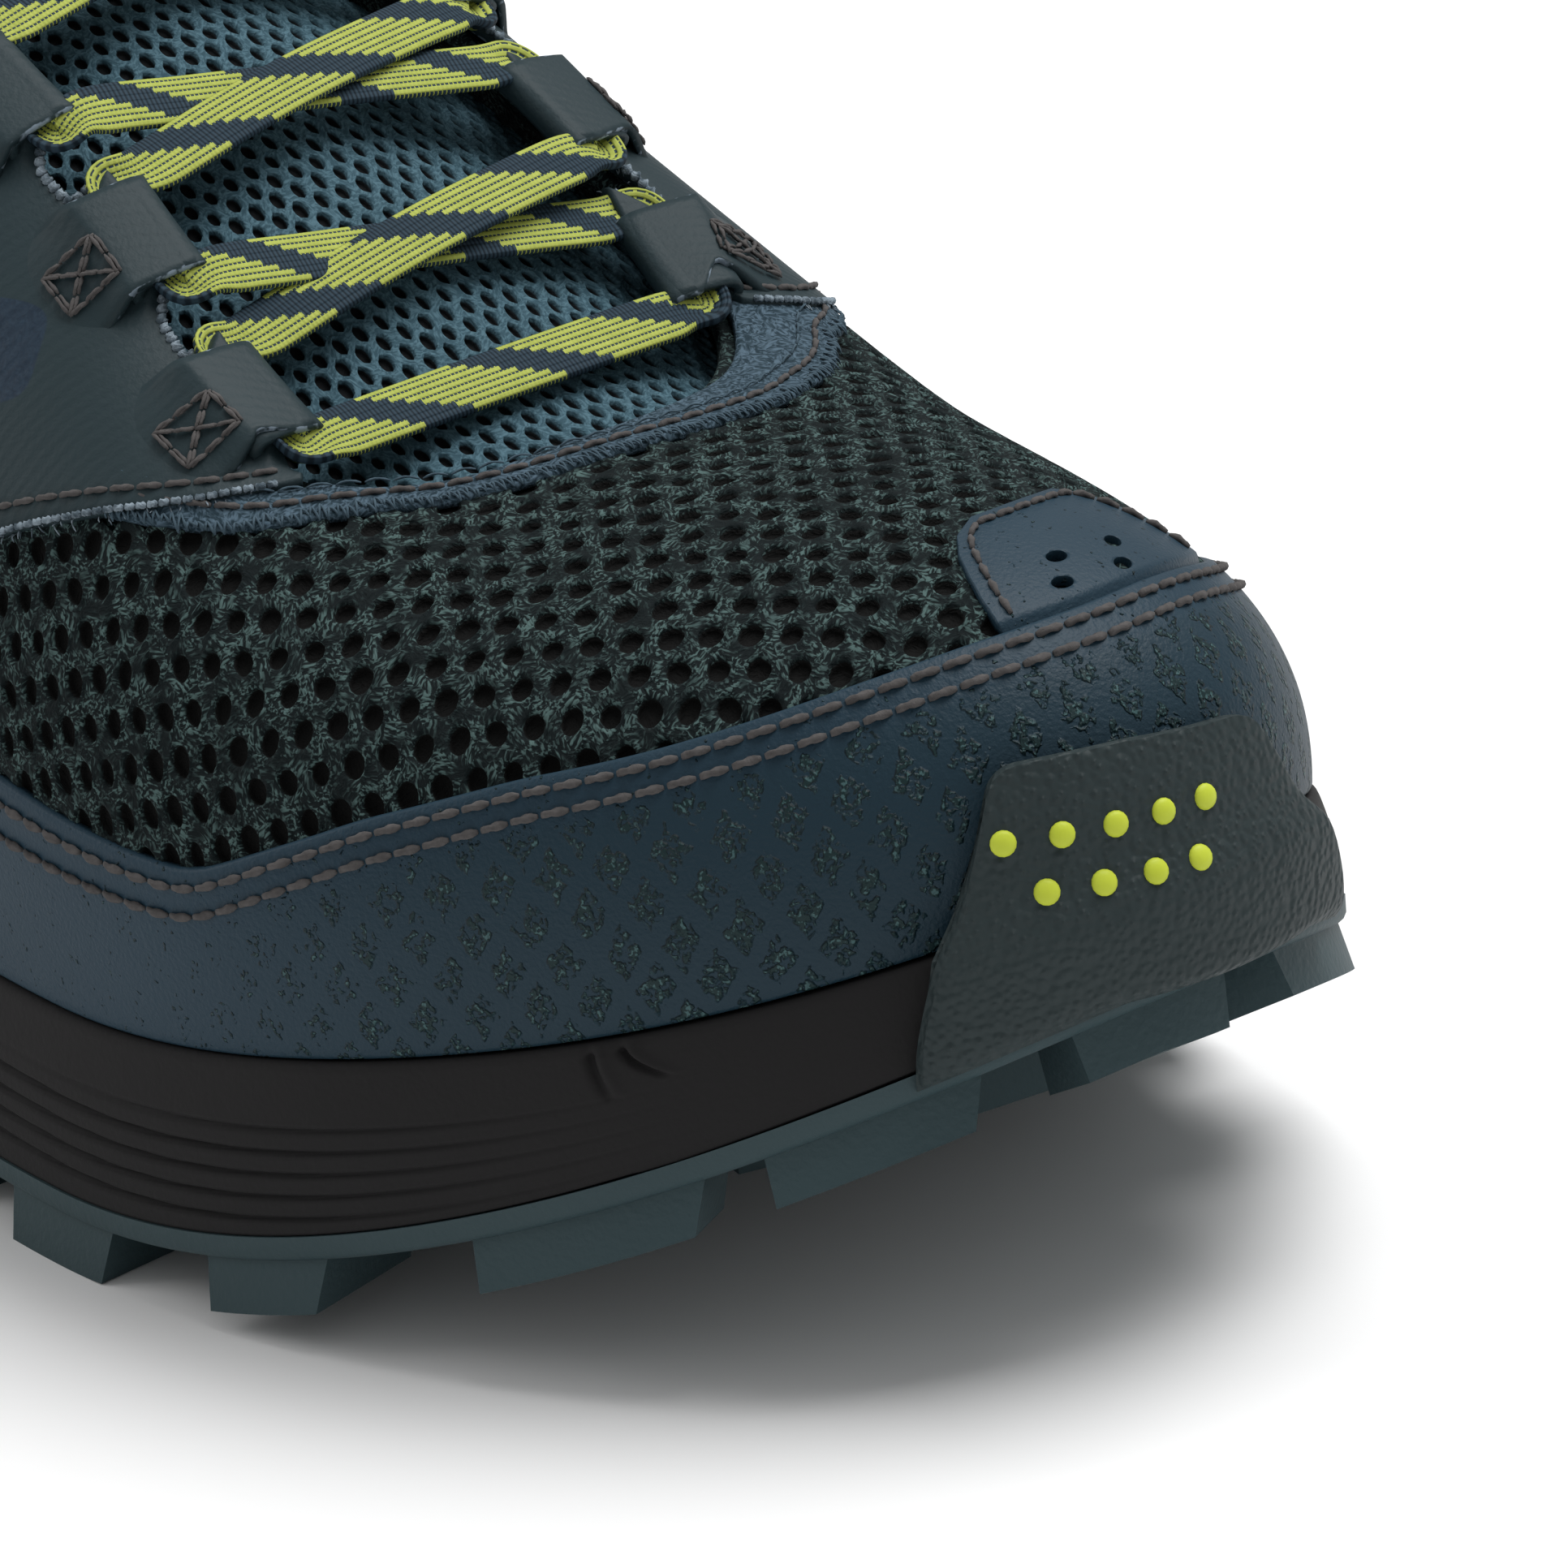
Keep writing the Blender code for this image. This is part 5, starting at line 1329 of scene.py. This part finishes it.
TONGUE_PADDING = 0.006
TONGUE_OFFSET = 0.001
TONGUE = (
    (0.792, 0.588, 0.37, 0.030, 0.33),
    (0.757, 0.609, 0.44, 0.042, 0.33),
    (0.716, 0.650, 0.54, 0.062, 0.40),
    (0.676, 0.718, 0.56, 0.080, 0.45),
    (0.625, 0.805, 0.56, 0.093, 0.50),
    (0.557, 0.905, 0.52, 0.098, 0.55),
    (0.490, 0.975, 0.46, 0.100, 0.70),
    (0.432, 1.030, 0.38, 0.100, 1.00),
    (0.385, 1.105, 0.34, 0.090, 0.80),
)


def tongue_point(station, across, sink):
    """A place on the tongue, from 0 at its root to 1 at its top, across from -1 to 1, sunk in the pad."""
    knots = np.linspace(0.0, 1.0, len(TONGUE))
    along, crown, half, drop, thin = (np.interp(station, knots, column) for column in columns_of(TONGUE))
    top = (crown - drop * across ** 2) * INSTEP_HEIGHT
    side = across * half * HALF + TONGUE_OFFSET
    depth = thin * TONGUE_PADDING * (1.0 - 0.5 * across ** 4) * sink
    return np.stack((along * SOLE_LENGTH - 0.5 * depth, side, top - depth), axis=-1)


def pad_face(station, across, sink=0.0):
    """The tongue's face with its stations smoothed, sunk in its thickness."""
    steps = np.linspace(-0.045, 0.045, 7)
    return np.mean([tongue_point(np.clip(station + step, 0.0, 1.0), across, sink) for step in steps], axis=0)


TONGUE_KNIT = 0.0009
TONGUE_ROWS = 90
TONGUE_COLUMNS = 41
TONGUE_MIDDLE = TONGUE_COLUMNS // 2
station, across = np.meshgrid(
    np.linspace(0.0, 1.0, TONGUE_ROWS), np.linspace(-1.0, 1.0, TONGUE_COLUMNS), indexing="ij",
)
face, back_face = pad_face(station, across), pad_face(station, across, 1.0)
lengthways, crossways = np.gradient(face, axis=0), np.gradient(face, axis=1)
face = face - unit(np.cross(crossways, lengthways)) * TONGUE_KNIT
border = from_border(TONGUE_ROWS, TONGUE_COLUMNS)
full = np.sin(np.minimum(border / 3.0, 1.0) * math.pi / 2.0)[..., None]
middle = (face + back_face) / 2.0
tongue = close_up(join_pieces([
    shaped_grid("tongue_pad", middle + (face - middle) * full),
    shaped_grid("tongue_pad_back", middle + (back_face - middle) * full),
]))
tongue_mesh, tongue_shader = new_material("tongue_mesh", 0.85)
fibres = strands(tongue_mesh, 0.0016, 0.00014)
tongue_light = step_up(tongue_mesh, fibres, 0.35, 0.70)
# Painted light: these tones are raised so that the tongue looks as bright as a lit one, though the lamps leave
# it in shade.
tongue_tone = blend(tongue_mesh, tongue_light, (0.0320, 0.0740, 0.0980), (0.0800, 0.1550, 0.1950))
# Painted shade: the floors of the tongue mesh's holes, and its back, are painted near black for the shade that
# falls deep in the holes.
tongue_hole_shade = step_up(tongue_mesh, value_of(tongue_mesh, "depth"), 0.2, 0.8)
tongue_tone = blend(tongue_mesh, tongue_hole_shade, tongue_tone, (0.0010, 0.0020, 0.0030))
paint(tongue_mesh, tongue_shader, tongue_tone, fibres, 0.00010)
finish_piece(tongue, tongue_mesh, "tongue_mesh", "tongue")

spine = run_along(face[:, TONGUE_MIDDLE])
tongue_along = np.arange(0.0, spine[-1], 0.001)
TONGUE_REACH = 0.032
tongue_out = np.arange(-TONGUE_REACH, TONGUE_REACH + 1e-9, 0.001)
tongue_sheet = np.zeros((len(tongue_along), len(tongue_out), 4))
for i, along in enumerate(tongue_along):
    at = np.interp(along, spine, np.arange(float(TONGUE_ROWS)))
    row = int(min(at, TONGUE_ROWS - 2.0))
    line = face[row] + (face[row + 1] - face[row]) * (at - row)
    run = run_along(line)
    run -= run[TONGUE_MIDDLE]
    for axis in range(3):
        tongue_sheet[i, :, axis] = np.interp(tongue_out, run, line[:, axis])
    tongue_sheet[i, :, 3] = (tongue_out > run[0] + 0.0022) & (tongue_out < run[-1] - 0.0022)


def on_tongue(along, out):
    return read_sheet(tongue_sheet, 0.0, -TONGUE_REACH, along, out)


def tongue_zone(along, out):
    return (on_tongue(along, out)[..., 3] > 0.99) & (along > 0.004) & (along < spine[-1] - 0.006)


tongue_face = open_knit(
    "tongue_knit", 0.0021, 0.0025, 0.002, spine[-1], TONGUE_REACH, lambda a, b: on_tongue(a, b)[..., :3],
    tongue_zone, (0.00112, 0.00058), TONGUE_KNIT, 0.68,
)
finish_piece(tongue_face, tongue_mesh, "tongue_mesh")


# Laces
# One flat woven lace, lime with navy bands, which runs out of each loop, across the tongue and into the
# next. It is woven in narrow cords side by side, and its bands step from one cord to the next.

LACE_WIDTH = 0.006
LACE_THICKNESS = 0.0011
LACE_CORDS = 8.0
LACE_REPEAT = 0.0165


def capped(rows):
    """Rows of hoops with their two ends drawn together to a point."""
    first, last = (np.repeat(np.mean(row, axis=0)[None], len(row), axis=0) for row in (rows[0], rows[-1]))
    return [first, *rows, last]


def lace_run(name, left, left_end, right, right_end, hump):
    """A length of lace from inside one loop to inside another, arched over the tongue in the middle."""
    starts = []
    for side, row, end in ((-1, left, left_end), (1, right, right_end)):
        centre, forward, across, out = loop_frame(side, row)
        mouth = centre + forward * end * LOOP_LENGTH / 2.0
        free = LOOP_WIDTH / 2.0 + 2.5 * CLEARANCE
        starts.append((
            centre + forward * end * 0.25 * LOOP_LENGTH, mouth + forward * end * 0.0012 + across * 0.0008,
            mouth + across * free + forward * end * 0.0010, out,
        ))
    (a0, a1, a2, up_a), (b0, b1, b2, up_b) = starts
    up_middle = (up_a + up_b) / np.linalg.norm(up_a + up_b)
    knots = [a0, a1, a2]
    for share_of in (0.25, 0.5, 0.75):
        knots.append(a2 + (b2 - a2) * share_of + up_middle * hump * math.sin(math.pi * share_of))
    knots += [b2, b1, b0]
    line = smooth_path(knots, 10)
    run = run_along(line)
    part = run / run[-1]
    ahead = unit(np.gradient(line, axis=0))
    wide = unit(np.cross(up_a * (1.0 - part)[:, None] + up_b * part[:, None], ahead))
    high = np.cross(ahead, wide)
    bend = ramp(part, 0.03, 0.17) * ramp(-part, -0.97, -0.83)
    width = LACE_WIDTH * (0.62 + 0.38 * bend)
    rows = []
    for i in range(len(line)):
        hoop = flat_hoop(width[i], LACE_THICKNESS * (1.4 - 0.4 * bend[i]))
        hoop[:, 1] -= 0.9 * LACE_THICKNESS * (1.0 - bend[i]) * np.cos(2.0 * math.pi * hoop[:, 0] / width[i])
        rows.append(line[i] + hoop[:, :1] * wide[i] + hoop[:, 1:] * high[i])
    rows = capped(rows)
    piece = shaped_grid(name, rows, closed_round=True)
    across_value = flat_hoop(1.0, 1.0)[:, 0]
    run = np.concatenate((run[:1], run, run[-1:]))
    vertex_value(piece, "run", np.repeat(run, HOOP_POINTS + 1))
    vertex_value(piece, "across", np.tile(np.append(across_value, across_value[0]), len(rows)))
    return piece


lace_yarn, lace_shader = new_material("lace_yarn", 0.75)
lace_run_at = value_of(lace_yarn, "run")
from_edge = reckon(lace_yarn, "ADD", value_of(lace_yarn, "across"), 0.5)
cord_place = reckon(lace_yarn, "MULTIPLY", from_edge, LACE_CORDS)
cord_index = reckon(lace_yarn, "FLOOR", cord_place)
cord_middle = reckon(lace_yarn, "PINGPONG", reckon(lace_yarn, "ADD", cord_place, 0.5), 0.5)
cord_edge = reckon(lace_yarn, "SUBTRACT", 0.5, cord_middle)
picks = reckon(lace_yarn, "PINGPONG", reckon(lace_yarn, "DIVIDE", lace_run_at, 0.00045), 0.5)
cord_step = reckon(lace_yarn, "MULTIPLY", cord_index, 0.085)
repeat = reckon(lace_yarn, "ADD", reckon(lace_yarn, "DIVIDE", lace_run_at, LACE_REPEAT), cord_step)
navy_band = reckon(lace_yarn, "LESS_THAN", reckon(lace_yarn, "FRACT", repeat), 0.34)
between_cords = reckon(lace_yarn, "LESS_THAN", cord_edge, 0.16)
navy_line = reckon(lace_yarn, "MULTIPLY", between_cords, reckon(lace_yarn, "GREATER_THAN", picks, 0.14))
lime = blend(lace_yarn, grain(lace_yarn, 0.0006), (0.300, 0.350, 0.060), (0.450, 0.500, 0.110))
navy = blend(lace_yarn, step_up(lace_yarn, picks, 0.10, 0.35), (0.006, 0.014, 0.022), (0.024, 0.046, 0.066))
lace_tone = blend(lace_yarn, reckon(lace_yarn, "MAXIMUM", navy_band, navy_line), lime, navy)
cord_relief = reckon(lace_yarn, "MULTIPLY", step_up(lace_yarn, cord_edge, 0.0, 0.35), 1.2)
lace_relief = reckon(lace_yarn, "ADD", cord_relief, picks)
paint(lace_yarn, lace_shader, lace_tone, lace_relief, 0.00008)
bar = close_up(lace_run("lace_bar_yarn", 0, 1, 0, 1, 0.2 * LACE_THICKNESS))
finish_piece(bar, lace_yarn, "lace_yarn", "lace_bar")
for row in range(LOOP_ROWS - 1):
    crossing = close_up(join_pieces([
        lace_run(f"lace_crossing_{row + 1}", row, -1, row + 1, 1, 1.5 * LACE_THICKNESS),
        lace_run("lace_under", row + 1, 1, row, -1, 0.25 * LACE_THICKNESS),
    ]))
    finish_piece(crossing, lace_yarn, "lace_yarn", f"lace_cross_{row + 1}")


# Outsole
# Blue-grey rubber moulded in one: a thin sole that climbs over the toe as a bumper, with tapered lugs along
# both edges and arrow lugs down the middle.

OUTSOLE_INSET = 0.0005
BUMPER_THICKNESS = 0.0019
BUMPER_FOOT = (0.460, 0.528)
BUMPER_HEAD = (0.4725, 0.5155)
BUMPER_TOP = 0.205
BUMPER_DROP = 0.055
BUMPER_REACH = 0.0022
LUG_DRAFT = 0.0012
LUG_ROOT = 0.0012
LUG_LEAN = 0.0016
EDGE_LUGS = (
    (-0.022, 0.022, 0.26), (0.034, 0.062, 0.28), (0.074, 0.098, 0.26), (0.110, 0.134, 0.26),
    (0.148, 0.170, 0.24), (0.232, 0.254, 0.26), (0.268, 0.292, 0.30), (0.309, 0.331, 0.32),
    (0.354, 0.373, 0.30), (0.399, 0.430, 0.30), (0.441, 0.467, 0.30), (0.482, 0.503, 0.30),
    (0.516, 0.545, 0.30), (0.560, 0.586, 0.30), (0.602, 0.624, 0.30), (0.642, 0.666, 0.32),
    (0.684, 0.708, 0.30), (0.728, 0.750, 0.24), (0.826, 0.848, 0.24), (0.862, 0.886, 0.26),
    (0.898, 0.922, 0.26), (0.934, 0.964, 0.28),
)
ARROW_LUGS = (
    (0.115, 0.00, 0.26, -1), (0.190, -0.02, 0.26, -1), (0.262, -0.02, 0.26, -1),
    (0.560, -0.30, 0.22, 1), (0.560, 0.16, 0.22, 1), (0.632, -0.34, 0.24, 1), (0.632, 0.20, 0.24, 1),
    (0.704, -0.30, 0.24, 1), (0.704, 0.26, 0.24, 1), (0.776, -0.24, 0.24, 1), (0.776, 0.30, 0.24, 1),
    (0.846, -0.06, 0.22, 1), (0.846, 0.42, 0.20, 1), (0.906, 0.10, 0.22, 1),
)


def above_root(part):
    """A height above the lugs' roots, as a share of the outsole's thickness."""
    return lambda along: root_height(along) + part * OUTSOLE_THICKNESS


share = even_shares(420)
rings = [
    outline_points(share, OUTSOLE_INSET + rounding * OUTSOLE_THICKNESS, above_root(part))
    for rounding, part in ((0.3, 0.0), (0.1, 0.1), (0.0, 0.3), (0.0, 1.0))
]
sole_parts = [
    shaped_grid("outsole_rubber", rings, closed_round=True),
    shaped_grid("outsole_low", lid_points(rings[0], 8, root_height)),
    shaped_grid("outsole_high", lid_points(rings[-1], 8, above_root(1.0))),
]


BUMPER_COLUMNS = 80
BUMPER_CORNER = 0.13
BUMPER_SIDE = 0.035
across = np.linspace(0.0, 1.0, BUMPER_COLUMNS)
from_side = np.minimum(across, 1.0 - across)


def round_off(width):
    """A quarter circle's fall, from 0 inside to 1 at the bumper's sides, over a share of its width."""
    return 1.0 - np.sqrt(1.0 - np.clip(1.0 - from_side / width, 0.0, 1.0) ** 2)


bumper_top = BUMPER_TOP - BUMPER_DROP * across - 0.05 * round_off(BUMPER_CORNER)
side_round = 1.0 - 0.7 * round_off(BUMPER_SIDE)
seat = 2.5 * OVERLAY_GAP + RAND_THICKNESS
inner = MIDSOLE_INSET - 3.0 * CLEARANCE


def bumper_columns(climb):
    first = BUMPER_FOOT[0] + (BUMPER_HEAD[0] - BUMPER_FOOT[0]) * climb
    last = BUMPER_FOOT[1] + (BUMPER_HEAD[1] - BUMPER_FOOT[1]) * climb
    return first + (last - first) * across


def on_sole(climb, inset, height):
    return outline_points(bumper_columns(climb), inset, height)


def on_toe(part, out):
    return on_upper(bumper_columns(0.3 + 0.7 * part), bumper_top * part, out)


rim = rim_height(bumper_columns(0.25))
outer_line = [
    on_sole(climb, -reach * BUMPER_REACH * side_round, height)
    for climb, reach, height in (
        (0.0, 0.5, above_root(0.34)), (0.0, 0.9, above_root(0.8)), (0.05, 1.0, above_root(2.2)),
        (0.25, 0.9, rim),
    )
]
outer_line += [
    on_toe(part, seat + full * BUMPER_THICKNESS * side_round)
    for part, full in ((0.32, 1.25), (0.66, 1.0), (0.94, 0.97), (0.975, 0.9), (0.992, 0.65), (1.0, 0.3))
]
inner_line = [
    *(on_toe(part, seat) for part in (1.0, 0.66, 0.32)),
    on_sole(0.25, inner, rim + 3.0 * CLEARANCE),
    on_sole(0.05, inner, above_root(1.5)),
    on_sole(0.0, inner, above_root(0.75)),
    on_sole(0.0, BUMPER_REACH, above_root(0.7)),
    on_sole(0.0, BUMPER_REACH, above_root(0.42)),
]
hoops = np.swapaxes(np.array(outer_line + inner_line), 0, 1)
finer = [np.vstack((smooth_path(hoop[:len(outer_line)], 4), hoop[len(outer_line):])) for hoop in hoops]
bumper = shaped_grid("bumper", capped(finer), closed_round=True)
vertex_value(bumper, "bumper", np.ones(len(bumper.data.vertices)))
sole_parts.append(bumper)


def edge_lug(first, last, depth):
    middle = (first + last) / 2.0
    taper = (last - first) * 0.12
    hoops = []
    for spread, out, height in ((0.0, 0.0, tread_height), (LUG_DRAFT, LUG_LEAN, root_height)):
        wider = spread / OUTLINE_LENGTH
        front = np.linspace(first - wider, last + wider, 9)
        rear = np.linspace(last + wider - taper, first - wider + taper, 9)
        share = np.concatenate((front, rear))
        inset = np.concatenate((np.full(9, out), np.full(9, depth * HALF + spread)))
        hoops.append(outline_points(share, inset, height))
    hoops[1][:, 2] += LUG_ROOT
    return shaped_grid("lug", capped(hoops), closed_round=True)


def arrow_lug(along, side, size, point):
    reach = size * HALF
    shape = np.array((
        (0.45, 0.0), (-0.25, -0.62), (-0.65, -0.40), (-0.18, 0.0), (-0.65, 0.40), (-0.25, 0.62),
    ))
    corners = shape * reach * np.array((point, 1.0)) + np.array((along * SOLE_LENGTH, side * HALF))
    hoops = [
        np.column_stack((corners, height(corners[:, 0]) + extra))
        for height, extra in ((tread_height, 0.0), (root_height, LUG_ROOT))
    ]
    return shaped_grid("arrow_lug", capped(hoops), closed_round=True)


sole_parts += [edge_lug(*row) for row in EDGE_LUGS]
sole_parts += [arrow_lug(*row) for row in ARROW_LUGS]
outsole = close_up(join_pieces(sole_parts))
bpy.ops.object.shade_smooth_by_angle(angle=math.radians(35.0))
rubber, rubber_shader = new_material("outsole_rubber", 0.55)
on_bumper = value_of(rubber, "bumper")
sole_tone = blend(rubber, grain(rubber, 0.01), (0.0300, 0.0530, 0.0600), (0.0380, 0.0640, 0.0710))
toe_tone = blend(rubber, grain(rubber, 0.006), (0.0190, 0.0290, 0.0310), (0.0270, 0.0400, 0.0420))
pebbles = node(rubber, "ShaderNodeTexVoronoi", {
    "Vector": places(rubber), "Scale": 1250.0, "Smoothness": 0.8,
}, feature="SMOOTH_F1").outputs["Distance"]
rubber_relief = blend(rubber, on_bumper, grain(rubber, 0.0004), reckon(rubber, "MULTIPLY", pebbles, -4.2))
paint(rubber, rubber_shader, blend(rubber, on_bumper, sole_tone, toe_tone), rubber_relief, 0.00010)
finish_piece(outsole, rubber, "outsole_rubber", "outsole")

# Toe pips
# Nine plain round pips of lime rubber, moulded on the bumper in two staggered rows, five over four. They are
# low domes, each set square to the rubber under it.

PIP_RADIUS = 0.0012
PIP_PITCH = 0.0046
PIP_MIDDLE = (-0.0030, 0.0495)
sole_tree = BVHTree.FromPolygons(
    [tuple(vertex.co) for vertex in outsole.data.vertices],
    [tuple(face.vertices) for face in outsole.data.polygons],
)
pips = []
for row, count in ((0, 5), (1, 4)):
    for column in range(count):
        side = PIP_MIDDLE[0] + (column - (count - 1) / 2.0) * PIP_PITCH
        ahead_of_toe = Vector((0.2, side, PIP_MIDDLE[1] - (row - 0.5) * PIP_PITCH))
        hit, facing, _, _ = sole_tree.ray_cast(ahead_of_toe, Vector((-1.0, 0.0, 0.0)))
        select_only()
        bpy.ops.mesh.primitive_uv_sphere_add(
            segments=16, ring_count=8, radius=PIP_RADIUS, location=tuple(hit),
            rotation=facing.to_track_quat("Z", "Y").to_euler(),
        )
        bpy.context.object.scale = (1.0, 1.0, 0.5)
        bpy.ops.object.transform_apply(location=True, rotation=True, scale=True)
        bpy.context.object.name = "toe_pips"
        pips.append(bpy.context.object)
toe_pips = join_pieces(pips)
bpy.ops.object.shade_smooth()
lime_rubber = speckled(
    "lime_rubber", 0.45, 0.003, (0.480, 0.560, 0.040), (0.560, 0.640, 0.060), 0.0003, 0.00003,
)
finish_piece(toe_pips, lime_rubber, "outsole_rubber")
